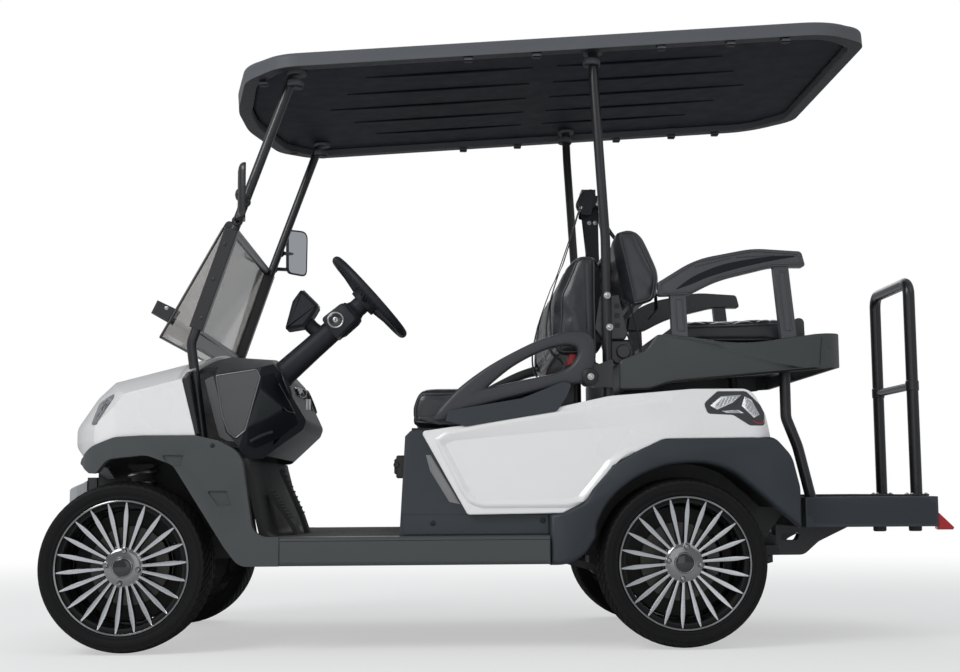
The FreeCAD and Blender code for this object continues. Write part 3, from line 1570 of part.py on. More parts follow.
flares = make_flares()
rear_body, tail_lamps = make_rear_body(flares)
feature("seat_base", make_seat_base(rear_body, flares))
feature("rear_body", rear_body)
feature("tail_lamps", tail_lamps)
feature("rear_flares", flares)
cushion, back = make_front_seat()
feature("front_seat_cushion", cushion)
feature("front_seat_board", make_front_board())
feature("front_seat_back", back)
rear_back = make_rear_back()
feature("rear_seat_back", rear_back)
feature("rear_struts", rear_struts.cut(rear_back))
tray = make_rear_tray()
feature("rear_tray", tray)
rear_cushion, board = make_rear_cushion()
feature("rear_seat_cushion", rear_cushion)
feature("rear_seat_board", board)
armrest = make_armrest().cut(tray.fuse(rear_back))
armrest = max(armrest.Solids, key=lambda solid: solid.Volume)
feature("rear_armrests", both_sides(armrest))
feature("hip_restraint_left", make_restraint(-1))
feature("hip_restraint_right", make_restraint(1))
step = make_step()
feature("rear_supports", make_rear_supports(tray.fuse(step)))
feature("rear_step", step)
feature("grab_bar", make_grab_bar())

battery = doc.addObject("Part::Box", "battery_pack")
battery.Label = "battery_pack"
battery.Length = 330
battery.Width = 640
battery.Height = 240
battery.Placement = FreeCAD.Placement(frame_shift + vec(seat_front + 70, -320, rail_top), FreeCAD.Rotation())
made.append(battery)

doc.recompute()
for item in doc.Objects:
    if "Invalid" in item.State or "Error" in item.State:
        raise RuntimeError("%s did not build: %s" % (item.Label, item.State))
for item in made:
    shape = item.Shape
    if shape.isNull() or not shape.isValid() or not shape.Solids:
        raise RuntimeError("%s has no valid solid" % item.Label)
    print("%-22s %2d solids %8.0f cm3 %4d faces"
          % (item.Label, len(shape.Solids), shape.Volume / 1000, len(shape.Faces)))
    shape.exportStep("parts/%s.step" % item.Label)
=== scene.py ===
"""Looks of a four-seat golf cart with a rear-facing bench, built over its fixed frame of named parts.

Points written in millimetres are measured from the front axle: X to the rear, Y to the cart's right, Z up.
"""

import logging
import math
from dataclasses import dataclass
from enum import Enum
from typing import Callable, Iterator, Optional, Sequence, Union

import bmesh
import bpy
from mathutils import Matrix, Vector
from mathutils.bvhtree import BVHTree


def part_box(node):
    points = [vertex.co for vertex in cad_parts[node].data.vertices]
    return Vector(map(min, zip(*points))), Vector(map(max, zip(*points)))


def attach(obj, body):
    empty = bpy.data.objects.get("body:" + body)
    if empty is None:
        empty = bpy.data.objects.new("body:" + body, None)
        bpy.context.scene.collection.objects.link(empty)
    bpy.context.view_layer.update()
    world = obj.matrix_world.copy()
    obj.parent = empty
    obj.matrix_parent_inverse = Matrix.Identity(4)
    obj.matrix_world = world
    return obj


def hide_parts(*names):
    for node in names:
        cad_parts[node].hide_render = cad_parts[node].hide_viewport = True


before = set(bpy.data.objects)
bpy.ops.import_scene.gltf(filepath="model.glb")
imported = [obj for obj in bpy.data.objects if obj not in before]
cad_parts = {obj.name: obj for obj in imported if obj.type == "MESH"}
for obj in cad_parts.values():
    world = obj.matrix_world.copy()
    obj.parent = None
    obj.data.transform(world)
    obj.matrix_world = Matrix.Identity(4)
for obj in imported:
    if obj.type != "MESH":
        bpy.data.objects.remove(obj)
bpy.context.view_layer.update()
log = logging.getLogger("golf_cart")

Point = tuple[float, float, float]
Flat = tuple[float, float]
Colour = tuple[float, float, float]
Place = Union[Vector, Point]


def axle_x() -> float:
    """Returns the front axle's place along the cart, in metres."""
    low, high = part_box("tyre_front_left")
    return (low[0] + high[0]) / 2


AXLE_X = axle_x()


def at(x: float, y: float, z: float) -> Vector:
    """Returns a point in the frame, in metres, from millimetres behind the front axle."""
    return Vector((AXLE_X + x / 1000, y / 1000, z / 1000))


# Finishes.

def set_inputs(tree: bpy.types.NodeTree, node: bpy.types.Node, inputs: dict[str | int, object]) -> None:
    """Sets a node's inputs to values or joins them to sockets.

    Args:
        tree: The node tree.
        node: The node.
        inputs: Values or sockets, by the input's name or number.
    """
    for name, value in inputs.items():
        if isinstance(value, bpy.types.NodeSocket):
            tree.links.new(value, node.inputs[name])
        else:
            node.inputs[name].default_value = value


def add_node(tree: bpy.types.NodeTree, kind: str, inputs: dict[str | int, object],
             **settings: object) -> bpy.types.Node:
    """Adds a shader node to a tree.

    Args:
        tree: The node tree.
        kind: The node's kind, without the word before it.
        inputs: Values or sockets, by the input's name or number.
        **settings: The node's own settings.

    Returns:
        The node.
    """
    node = tree.nodes.new("ShaderNode" + kind)
    for name, value in settings.items():
        setattr(node, name, value)
    set_inputs(tree, node, inputs)
    return node


def noise(tree: bpy.types.NodeTree, place: bpy.types.NodeSocket, scale: float,
          detail: float) -> bpy.types.NodeSocket:
    """Adds a noise texture at a scale per metre and returns its socket."""
    return add_node(tree, "TexNoise", {"Vector": place, "Scale": scale, "Detail": detail}).outputs["Fac"]


class Grain(Enum):
    """What the fine relief of a finish looks like."""

    SMOOTH = "smooth"
    MOULDED = "moulded"
    LEATHER = "leather"
    TURNED = "turned"
    RUBBER = "rubber"
    RIBBED = "ribbed"
    WOVEN = "woven"


# Wave settings of the grains made of lines.
WAVES = {
    Grain.TURNED: {"wave_type": "RINGS", "rings_direction": "Y"},
    Grain.RIBBED: {"wave_type": "BANDS", "bands_direction": "Y"},
    Grain.WOVEN: {"wave_type": "BANDS", "bands_direction": "DIAGONAL"},
}


@dataclass(frozen=True)
class Finish:
    """One finish: its colour and how light meets it, with fine relief and worn edges."""

    name: str
    colour: Colour
    roughness: float
    metallic: float = 0.0
    coat: float = 0.0
    grain: Grain = Grain.MOULDED
    grain_size: float = 0.0012
    relief: float = 0.0002
    tint: float = 0.10
    edge: float = 0.25
    rounding: float = 0.0015
    clear: float = 0.0
    sheen: float = 0.0
    shine: float = 0.5
    # Colour of painted shade on faces that look down, or None for none.
    under: Optional[Colour] = None

    def material(self) -> bpy.types.Material:
        """Builds the finish's node material once.

        Returns:
            The material, shared by every piece with this finish.
        """
        found = bpy.data.materials.get(self.name)
        if found:
            return found
        mat = bpy.data.materials.new(self.name)
        mat.use_nodes = True
        mat.diffuse_color = (*self.colour, 1)
        tree = mat.node_tree
        place = add_node(tree, "TexCoord", {}).outputs["Object"]
        rough = add_node(tree, "MapRange", {
            "Value": noise(tree, place, 1 / max(self.grain_size * 14, 0.002), 5.0),
            "To Min": max(0.02, self.roughness * 0.85), "To Max": min(1.0, self.roughness * 1.15)})
        bump = add_node(tree, "Bump", {"Height": self.height(tree, place), "Distance": self.relief,
                                       "Strength": 0.6})
        if self.rounding:
            soft = add_node(tree, "Bevel", {"Radius": self.rounding}, samples=4)
            set_inputs(tree, bump, {"Normal": soft.outputs["Normal"]})
        set_inputs(tree, tree.nodes["Principled BSDF"], {
            "Base Color": self.base(tree, place), "Roughness": rough.outputs["Result"],
            "Normal": bump.outputs["Normal"], "Metallic": self.metallic, "Coat Weight": self.coat,
            "Coat Roughness": 0.06, "Transmission Weight": self.clear, "Specular IOR Level": self.shine,
            "Sheen Weight": self.sheen, "Sheen Roughness": 0.4})
        return mat

    def base(self, tree: bpy.types.NodeTree, place: bpy.types.NodeSocket) -> bpy.types.NodeSocket:
        """Adds the drifting colour, its worn edges and the painted shade on faces that look down.

        Args:
            tree: The material's nodes.
            place: The socket of the place on the piece.

        Returns:
            The socket of the colour.
        """
        def mixed(share: object, first: object, second: object) -> bpy.types.NodeSocket:
            """Returns the socket of a mix of two colours."""
            return add_node(tree, "Mix", {"Factor": share, 6: first, 7: second}, data_type="RGBA").outputs[2]

        geometry = add_node(tree, "NewGeometry", {}).outputs
        lift = 0.10 if self.metallic < 0.5 else 0.25
        colour = mixed(noise(tree, place, 3.5, 3.0), (*[c * (1 - self.tint) for c in self.colour], 1),
                       (*[min(1.0, c * (1 + self.tint)) for c in self.colour], 1))
        worn = add_node(tree, "MapRange", {"Value": geometry["Pointiness"], "From Min": 0.52,
                                           "From Max": 0.62, "To Max": self.edge})
        colour = mixed(worn.outputs["Result"], colour,
                       (*[min(1.0, c + lift * (0.4 + c)) for c in self.colour], 1))
        # Faces that look down take the darker colour: painted shade.
        if self.under:
            normal = add_node(tree, "SeparateXYZ", {0: geometry["Normal"]})
            down = add_node(tree, "MapRange", {"Value": normal.outputs["Z"], "From Min": -0.55,
                                               "From Max": -0.15, "To Min": 1.0, "To Max": 0.0})
            colour = mixed(down.outputs["Result"], colour, (*self.under, 1))
        return colour

    def height(self, tree: bpy.types.NodeTree, place: bpy.types.NodeSocket) -> bpy.types.NodeSocket:
        """Adds the texture of the fine relief.

        Args:
            tree: The material's nodes.
            place: The socket of the place on the piece.

        Returns:
            The socket that holds the relief's height.
        """
        if self.grain is Grain.LEATHER:
            return add_node(tree, "TexVoronoi", {"Vector": place, "Scale": 1 / self.grain_size},
                            feature="DISTANCE_TO_EDGE").outputs["Distance"]
        if self.grain in WAVES:
            return add_node(tree, "TexWave", {"Vector": place, "Scale": 0.5 / self.grain_size,
                                              "Distortion": 0.3}, **WAVES[self.grain]).outputs["Fac"]
        return noise(tree, place, 1 / self.grain_size, 4.0)


PEARL = Finish("pearl_white_paint", (0.88, 0.88, 0.87), 0.28, coat=0.8, grain=Grain.SMOOTH, grain_size=0.03,
               relief=0.0002, tint=0.02, edge=0.1, rounding=0.004)
CLADDING = Finish("charcoal_cladding", (0.030, 0.037, 0.044), 0.46, tint=0.12, rounding=0.003, shine=0.35)
FENDER = Finish("fender_cladding", (0.056, 0.062, 0.064), 0.46, tint=0.12, rounding=0.003, shine=0.35)
DASH = Finish("dash_moulding", (0.019, 0.022, 0.027), 0.52, grain_size=0.0009, relief=0.00025, shine=0.28)
# Lit and shaded copies of the black dash moulding: a darker one for painted shade, and two lighter ones for
# painted highlight and painted light.
DASH_SHADE = Finish("dash_painted_shade", (0.007, 0.009, 0.013), 0.5, grain_size=0.0009, shine=0.25)
DASH_HIGHLIGHT = Finish("dash_facet", (0.090, 0.094, 0.098), 0.46, shine=0.35)
DASH_SOFT_LIGHT = Finish("dash_painted_soft_light", (0.045, 0.050, 0.053), 0.5, shine=0.3)
# Faces that look down get painted shade.
TRAY = Finish("smooth_charcoal", (0.054, 0.060, 0.061), 0.34, grain_size=0.002, relief=0.0001, rounding=0.004,
              shine=0.4, under=(0.006, 0.006, 0.007))
GRIP = Finish("armrest_charcoal", (0.064, 0.068, 0.076), 0.34, rounding=0.003)
RESTRAINT = Finish("restraint_charcoal", (0.042, 0.045, 0.051), 0.40, rounding=0.002, shine=0.4)
MAT = Finish("ribbed_floor_mat", (0.018, 0.018, 0.019), 0.75, grain=Grain.RIBBED, grain_size=0.006,
             relief=0.0012)
# Dark grey, lightened and tinted blue as a painted reflection of the sky on top; faces that look down get
# painted shade.
ROOF = Finish("roof_moulding", (0.105, 0.111, 0.121), 0.50, grain_size=0.0015, rounding=0.006,
              under=(0.002, 0.003, 0.006), shine=0.22)
# Near-black navy: painted shade under the roof.
SHADED_LINER = Finish("roof_liner", (0.004, 0.007, 0.013), 0.62, grain_size=0.004, shine=0.10)
TUBE = Finish("black_powder_coat", (0.016, 0.016, 0.018), 0.33, coat=0.2, grain_size=0.0008, relief=0.0001)
CHASSIS = Finish("chassis_paint", (0.022, 0.022, 0.024), 0.62, grain_size=0.003, relief=0.0005, edge=0.5)
# Pale grey, darkened to paint the shade it sits in under the nose.
BUMPER = Finish("pale_bumper", (0.36, 0.37, 0.38), 0.45, rounding=0.004)
GLASS = Finish("smoked_clear_sheet", (0.40, 0.39, 0.38), 0.05, grain=Grain.SMOOTH, grain_size=0.05,
               relief=0.0, tint=0.03, edge=0.0, rounding=0.0, clear=1.0)
LENS = Finish("clear_lamp_lens", (0.50, 0.52, 0.54), 0.06, grain=Grain.SMOOTH, grain_size=0.02, relief=0.0001,
              tint=0.02, edge=0.0, rounding=0.001, clear=0.9)
RED_LENS = Finish("red_lamp_lens", (0.42, 0.012, 0.016), 0.10, coat=0.6, grain=Grain.RIBBED, grain_size=0.004,
                  relief=0.0006, edge=0.05)
CHROME = Finish("lamp_reflector", (0.78, 0.79, 0.80), 0.08, metallic=1.0, grain=Grain.SMOOTH, tint=0.02,
                relief=0.0)
VINYL = Finish("black_vinyl", (0.026, 0.029, 0.034), 0.34, coat=0.15, grain=Grain.LEATHER, grain_size=0.0022,
               relief=0.0003, edge=0.15, rounding=0.0, sheen=0.10)
PIPING = Finish("vinyl_piping", (0.040, 0.042, 0.046), 0.30, grain=Grain.LEATHER, grain_size=0.002,
                relief=0.0001, rounding=0.0)
RUBBER = Finish("tyre_rubber", (0.006, 0.006, 0.0065), 0.68, grain=Grain.RUBBER, grain_size=0.0015,
                relief=0.0002, tint=0.2, edge=0.5, rounding=0.0, shine=0.2)
MACHINED = Finish("machined_alloy", (0.56, 0.57, 0.59), 0.26, metallic=1.0, grain=Grain.TURNED,
                  grain_size=0.0006, relief=0.00004, tint=0.04, rounding=0.0006)
POLISHED = Finish("polished_alloy", (0.26, 0.26, 0.265), 0.14, metallic=1.0, grain=Grain.SMOOTH,
                  grain_size=0.01, relief=0.00003, tint=0.03, rounding=0.0008)
GLOSS_BLACK = Finish("gloss_black", (0.010, 0.010, 0.011), 0.12, coat=0.7, grain=Grain.SMOOTH,
                     grain_size=0.02, relief=0.00005, rounding=0.001)
CASTING = Finish("brake_casting", (0.16, 0.155, 0.14), 0.5, metallic=0.8, grain=Grain.TURNED, relief=0.0001)
STEEL = Finish("zinc_steel", (0.55, 0.55, 0.56), 0.32, metallic=1.0, grain=Grain.TURNED, grain_size=0.0008,
               relief=0.00008, rounding=0.0006)
RED = Finish("red_plastic", (0.52, 0.022, 0.030), 0.35, grain_size=0.001, rounding=0.001)
WEBBING = Finish("belt_webbing", (0.016, 0.016, 0.017), 0.60, grain=Grain.WOVEN, relief=0.0003, rounding=0.0)
TRIM = Finish("black_trim", (0.008, 0.008, 0.009), 0.5, grain_size=0.001, edge=0.1, rounding=0.0008)
SATIN = Finish("satin_grey_trim", (0.23, 0.235, 0.24), 0.35, metallic=0.6, grain_size=0.001, relief=0.0001,
               rounding=0.001)
LAMP_WHITE = Finish("lamp_light_guide", (0.26, 0.275, 0.30), 0.2, coat=0.5, grain=Grain.SMOOTH,
                    grain_size=0.01, relief=0.0, tint=0.02, edge=0.0, rounding=0.0)
SMOKED = Finish("smoked_lamp_cover", (0.030, 0.033, 0.037), 0.06, coat=1.0, grain=Grain.SMOOTH,
                grain_size=0.03, relief=0.00005, edge=0.05, rounding=0.002)
REFLECTOR = Finish("mirror_glass", (0.75, 0.77, 0.80), 0.02, metallic=1.0, grain=Grain.SMOOTH, relief=0.0,
                   grain_size=0.05, tint=0.01, edge=0.0, rounding=0.0)


# Outlines and paths.

def shares(count: int) -> list[float]:
    """Returns the shares of a run at the ends of its equal steps, from 0 to 1."""
    return [k / count for k in range(count + 1)]


def between(first: Flat, second: Flat, share: float) -> Flat:
    """Returns the point at a share of the way between two points."""
    return (first[0] + (second[0] - first[0]) * share, first[1] + (second[1] - first[1]) * share)


def scaled(outline: Sequence[Flat], share: float) -> list[Flat]:
    """Shrinks an outline about the mean of its points.

    Args:
        outline: X and Z.
        share: Share of its size that stays.

    Returns:
        The shrunk outline.
    """
    cx = sum(x for x, _ in outline) / len(outline)
    cz = sum(z for _, z in outline) / len(outline)
    return [(cx + (x - cx) * share, cz + (z - cz) * share) for x, z in outline]


def circle(x: float, z: float, radius: float, count: int) -> list[Flat]:
    """Returns equally spaced points round a circle."""
    return [(x + radius * math.cos(t), z + radius * math.sin(t))
            for t in (2 * math.pi * k / count for k in range(count))]


def inset(outline: Sequence[Flat], distance: float) -> list[Flat]:
    """Moves a closed outline inwards.

    Args:
        outline: X and Z.
        distance: Millimetres.

    Returns:
        The moved outline.
    """
    if not distance:
        return list(outline)
    area = sum(a[0] * b[1] - b[0] * a[1] for a, b in zip(outline, list(outline[1:]) + [outline[0]]))
    sign = 1 if area > 0 else -1
    moved = []
    count = len(outline)
    for k in range(count):
        a, b, c = (Vector(outline[(k + j) % count]) for j in (-1, 0, 1))
        first, second = (b - a).normalized(), (c - b).normalized()
        normal = Vector((-first.y - second.y, first.x + second.x)) * sign
        if normal.length < 1e-6:
            normal = Vector((-first.y, first.x)) * sign
        normal.normalize()
        reach = max(0.35, normal.dot(Vector((-first.y, first.x)) * sign))
        moved.append(tuple(b + normal * distance / reach))
    return moved


def rounded(corners: Sequence[Point], steps: int = 5) -> list[Flat]:
    """Rounds the corners of a closed outline.

    Args:
        corners: Two coordinates and the corner's radius.
        steps: Points on each rounded corner.

    Returns:
        The outline's points.
    """
    points = []
    count = len(corners)
    for k, (px, pz, radius) in enumerate(corners):
        if radius <= 0:
            points.append((px, pz))
            continue
        here = Vector((px, pz))
        back = Vector(corners[k - 1][:2]) - here
        ahead = Vector(corners[(k + 1) % count][:2]) - here
        run = min(radius / math.tan(back.angle(ahead) / 2), back.length * 0.49, ahead.length * 0.49)
        start, end = here + back.normalized() * run, here + ahead.normalized() * run
        for t in shares(steps):
            points.append(tuple(start * (1 - t) ** 2 + here * 2 * t * (1 - t) + end * t ** 2))
    return points


def smooth_path(points: Sequence[Place], steps: int = 8, closed: bool = False) -> list[Vector]:
    """Draws a smooth line through points.

    Args:
        points: Points to pass.
        steps: Steps between two points.
        closed: Whether the line closes.

    Returns:
        The line's points.
    """
    points = [Vector(point) for point in points]
    count = len(points)
    line = []
    for k in range(count if closed else count - 1):
        if closed:
            a, b, c, e = (points[(k + j) % count] for j in (-1, 0, 1, 2))
        else:
            a, b, c, e = (points[min(max(k + j, 0), count - 1)] for j in (-1, 0, 1, 2))
        for t in shares(steps)[:-1]:
            line.append(0.5 * ((2 * b) + (c - a) * t + (2 * a - 5 * b + 4 * c - e) * t * t
                               + (3 * b - a - 3 * c + e) * t ** 3))
    return line if closed else line + [points[-1]]


# Mesh helpers.

OPEN, ENDED, FULL = (False, False), (False, True), (True, True)
UP = Vector((0, 0, 1))


def piece(name: str, mesh: bpy.types.Mesh, finishes: Sequence[Finish], slot: str, smooth: float,
          body: str = "chassis", stands_for: Sequence[str] = (),
          place: Matrix = Matrix()) -> bpy.types.Object:
    """Makes a piece of the cart from a mesh.

    Args:
        name: The piece's name.
        mesh: Its mesh.
        finishes: Finishes, by the faces' material index.
        slot: The record's material slot; not used.
        smooth: Largest angle, in degrees, shaded smooth.
        body: The body it moves with.
        stands_for: Frame nodes that it replaces.
        place: Where the mesh stands in the frame.

    Returns:
        The piece.
    """
    thing = bpy.data.objects.new(name, mesh)
    bpy.context.scene.collection.objects.link(thing)
    for finish in finishes:
        mesh.materials.append(finish.material())
    mesh.shade_smooth()
    mesh.set_sharp_from_angle(angle=math.radians(smooth))
    thing.matrix_world = place
    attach(thing, body)
    if stands_for:
        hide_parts(*stands_for)
    return thing


class Shape:
    """Grows one mesh from simple solids.

    A place is a tuple in millimetres, whose Y is turned to the shape's side of the cart, or else a vector in
    metres, which is taken as it is. All other sizes are millimetres.
    """

    def __init__(self, side: int = 1) -> None:
        """Starts an empty mesh, on the cart's left for -1 or on its right for 1."""
        self.mesh = bmesh.new()
        self.side = side

    @property
    def out(self) -> Vector:
        """The direction out of the cart on the shape's side."""
        return Vector((0, self.side, 0))

    def sides(self) -> Iterator[int]:
        """Turns the shape to the cart's left, then to its right.

        Yields:
            The side.
        """
        for side in (-1, 1):
            self.side = side
            yield side

    def point(self, place: Place) -> Vector:
        """Returns a place as a point in metres."""
        return place if isinstance(place, Vector) else at(place[0], self.side * place[1], place[2])

    def done(self, name: str) -> bpy.types.Mesh:
        """Ends the growing.

        Args:
            name: The mesh's name.

        Returns:
            The grown mesh.
        """
        bmesh.ops.recalc_face_normals(self.mesh, faces=self.mesh.faces)
        mesh = bpy.data.meshes.new(name)
        self.mesh.to_mesh(mesh)
        self.mesh.free()
        return mesh

    def finish(self, name: str, finishes: Sequence[Finish], slot: str, smooth: float, body: str = "chassis",
               stands_for: Sequence[str] = ()) -> None:
        """Turns the grown mesh into a piece, with what piece() asks for."""
        piece(name, self.done(name), finishes, slot, smooth, body, stands_for)

    def faces(self, rings: Sequence[Sequence[Place]], index: int = 0, caps: tuple[bool, bool] = FULL,
              closed: bool = True, looped: bool = False) -> None:
        """Joins rings of places with faces.

        Args:
            rings: Rings of equal length.
            index: Material index.
            caps: Whether the first and the last ring are filled.
            closed: Whether each ring closes on itself.
            looped: Whether the last ring joins the first.
        """
        rows = [[self.mesh.verts.new(self.point(place)) for place in ring] for ring in rings]
        count = len(rows[0])
        made = []
        for low, high in zip(rows, rows[1:] + (rows[:1] if looped else [])):
            for k in range(count if closed else count - 1):
                n = (k + 1) % count
                made.append(self.mesh.faces.new((low[k], low[n], high[n], high[k])))
        if caps[0]:
            made.append(self.mesh.faces.new(rows[0][::-1]))
        if caps[1]:
            made.append(self.mesh.faces.new(rows[-1]))
        for face in made:
            face.material_index = index
        if looped:
            bmesh.ops.remove_doubles(self.mesh, verts=self.mesh.verts[:], dist=1e-7)

    def lathe(self, centre: Place, profile: Sequence[Flat], steps: int = 48, index: int = 0,
              caps: tuple[bool, bool] = OPEN, axis: Optional[Vector] = None) -> None:
        """Turns a profile round an axis.

        Args:
            centre: Place on the axis.
            profile: Distances along the axis and radii.
            steps: Steps round.
            index: Material index.
            caps: Whether the first and the last end are filled.
            axis: Direction of the axis, or else out of the cart.
        """
        centre = self.point(centre)
        axis = (self.out if axis is None else axis).normalized()
        side = axis.orthogonal().normalized()
        other = axis.cross(side)
        rings = []
        for along, radius in profile:
            middle = centre + axis * along / 1000
            rings.append([middle + (side * a + other * b) * max(radius, 0.01) / 1000
                          for a, b in circle(0, 0, 1, steps)])
        self.faces(rings, index, caps)

    def rod(self, start: Place, end: Place, radius: float, steps: int = 24, index: int = 0,
            bevel: float = 0.6) -> None:
        """Adds a round rod with softened rims.

        Args:
            start: One end.
            end: Other end.
            radius: Its radius.
            steps: Steps round.
            index: Material index.
            bevel: Rim chamfer.
        """
        start = self.point(start)
        run = self.point(end) - start
        length = run.length * 1000
        cut = min(bevel, radius * 0.4, length * 0.3)
        self.lathe(start, ((0, radius - cut), (cut, radius), (length - cut, radius), (length, radius - cut)),
                   steps, index, FULL, run)

    def plate(self, outline: Sequence[Flat], y_from: float, y_to: float, index: int = 0,
              bevel: float = 0.0) -> None:
        """Adds a plate from a side outline, with chamfered rims.

        Args:
            outline: X and Z.
            y_from: One face.
            y_to: Other face.
            index: Material index.
            bevel: Chamfer.
        """
        low, high = sorted((self.side * y_from, self.side * y_to))
        inner = inset(outline, bevel)
        levels = ((low, inner), (low + bevel, outline), (high - bevel, outline), (high, inner))
        if not bevel:
            levels = ((low, outline), (high, outline))
        self.faces([[at(x, y, z) for x, z in points] for y, points in levels], index)

    def block(self, low: Point, high: Point, index: int = 0, bevel: float = 1.5) -> None:
        """Adds a box with chamfered edges.

        Args:
            low: Lowest corner.
            high: Highest corner.
            index: Material index.
            bevel: Chamfer.
        """
        cut = min(bevel, *(0.3 * (b - a) for a, b in zip(low, high)))
        (x_from, y_from, z_from), (x_to, y_to, z_to) = low, high
        self.plate(((x_from + cut, z_from), (x_to - cut, z_from), (x_to, z_from + cut), (x_to, z_to - cut),
                    (x_to - cut, z_to), (x_from + cut, z_to), (x_from, z_to - cut), (x_from, z_from + cut)),
                   y_from, y_to, index, cut)

    def tube(self, points: Sequence[Place], radius: float, steps: int = 10, index: int = 0,
             closed: bool = False, flat: float = 1.0) -> None:
        """Adds a tube along points.

        Args:
            points: Its middle line.
            radius: Its radius.
            steps: Steps round.
            index: Material index.
            closed: Whether the path closes.
            flat: Thickness of the section over its width.
        """
        points = [self.point(place) for place in points]
        rings = []
        count = len(points)
        for k, point in enumerate(points):
            before = points[k - 1] if (k or closed) else point
            after = points[(k + 1) % count] if (k < count - 1 or closed) else point
            run = (after - before).normalized()
            side = run.cross(Vector((0, 1, 0)))
            if side.length < 1e-4:
                side = run.orthogonal()
            side.normalize()
            other = run.cross(side).normalized()
            rings.append([point + (side * a * flat + other * b) * radius / 1000
                          for a, b in circle(0, 0, 1, steps)])
        self.faces(rings, index, OPEN if closed else FULL, True, closed)

    def cord(self, points: Sequence[Place], radius: float, steps: int = 8, index: int = 0,
             turns: int = 8) -> None:
        """Adds a cord on a smooth line through points.

        Args:
            points: Points that it passes.
            radius: Its radius.
            steps: Steps round.
            index: Material index.
            turns: Steps between two points.
        """
        self.tube(smooth_path([self.point(place) for place in points], turns), radius, steps, index)

    def bolt(self, centre: Place, radius: float, head: float = 4.0, index: int = 0,
             axis: Optional[Vector] = None) -> None:
        """Adds a dome-headed bolt with a washer.

        Args:
            centre: Foot of the head.
            radius: Washer's radius.
            head: Height of the head.
            index: Material index.
            axis: Direction it points, or else out of the cart.
        """
        self.lathe(centre, ((0, radius), (head * 0.25, radius), (head * 0.3, radius * 0.75),
                            (head * 0.8, radius * 0.62), (head, radius * 0.35), (head * 0.7, radius * 0.3),
                            (head * 0.7, 0.1)), 20, index, ENDED, axis)


class Skin:
    """The surface of one frame node, for laying a shape's trim on it. Sizes in millimetres."""

    def __init__(self, node: str, shape: Shape) -> None:
        """Reads a frame node's surface.

        Args:
            node: The frame node.
            shape: The shape that grows on it.
        """
        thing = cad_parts[node]
        points = [thing.matrix_world @ vertex.co for vertex in thing.data.vertices]
        self.tree = BVHTree.FromPolygons(points, [face.vertices for face in thing.data.polygons])
        self.shape = shape

    def on(self, x: float, z: float, lift: float = 0.4) -> Vector:
        """Finds the surface seen from the shape's side of the cart.

        Args:
            x: Place along the cart.
            z: Height.
            lift: Distance off the surface.

        Returns:
            The lifted point in metres.
        """
        hit, normal, _, _ = self.tree.ray_cast(self.shape.point((x, 760, z)), -self.shape.out)
        if hit is None:
            hit, normal, _, _ = self.tree.find_nearest(self.shape.point((x, 600, z)))
        if normal.y * self.shape.side < 0:
            normal = -normal
        return hit + normal * lift / 1000

    def line(self, points: Sequence[Flat], radius: float, index: int = 0, closed: bool = False,
             sink: float = 0.3) -> None:
        """Lays a thin round line along the surface.

        Args:
            points: X and Z.
            radius: Its radius.
            index: Material index.
            closed: Whether the line closes.
            sink: Height of the line's middle over the surface, as a share of its radius.
        """
        dense = []
        pairs = list(zip(points, points[1:])) + ([(points[-1], points[0])] if closed else [])
        for (ax, az), (bx, bz) in pairs:
            count = max(1, int(math.hypot(bx - ax, bz - az) / 14))
            dense += [(ax + (bx - ax) * k / count, az + (bz - az) * k / count) for k in range(count)]
        if not closed:
            dense.append(points[-1])
        self.shape.tube([self.on(x, z, radius * sink) for x, z in dense], radius, 8, index, closed)

    def patch(self, outline: Sequence[Flat], lift: float, index: int = 0) -> None:
        """Lays a thin plate with a closed outline on the surface.

        Args:
            outline: X and Z.
            lift: Height over the surface.
            index: Material index.
        """
        levels = ((1.0, -0.2), (1.0, lift * 0.7), (0.95, lift), (0.5, lift), (0.02, lift))
        self.shape.faces([[self.on(x, z, height) for x, z in scaled(outline, share)]
                          for share, height in levels], index, ENDED)

    def ridge(self, rows: Sequence[Sequence[Point]], index: int = 0) -> None:
        """Lays a raised form on the surface, from rows of X, Z and height over it."""
        self.shape.faces([[self.on(x, z, lift) for x, z, lift in row] for row in rows], index, OPEN, False)


# Wheels.

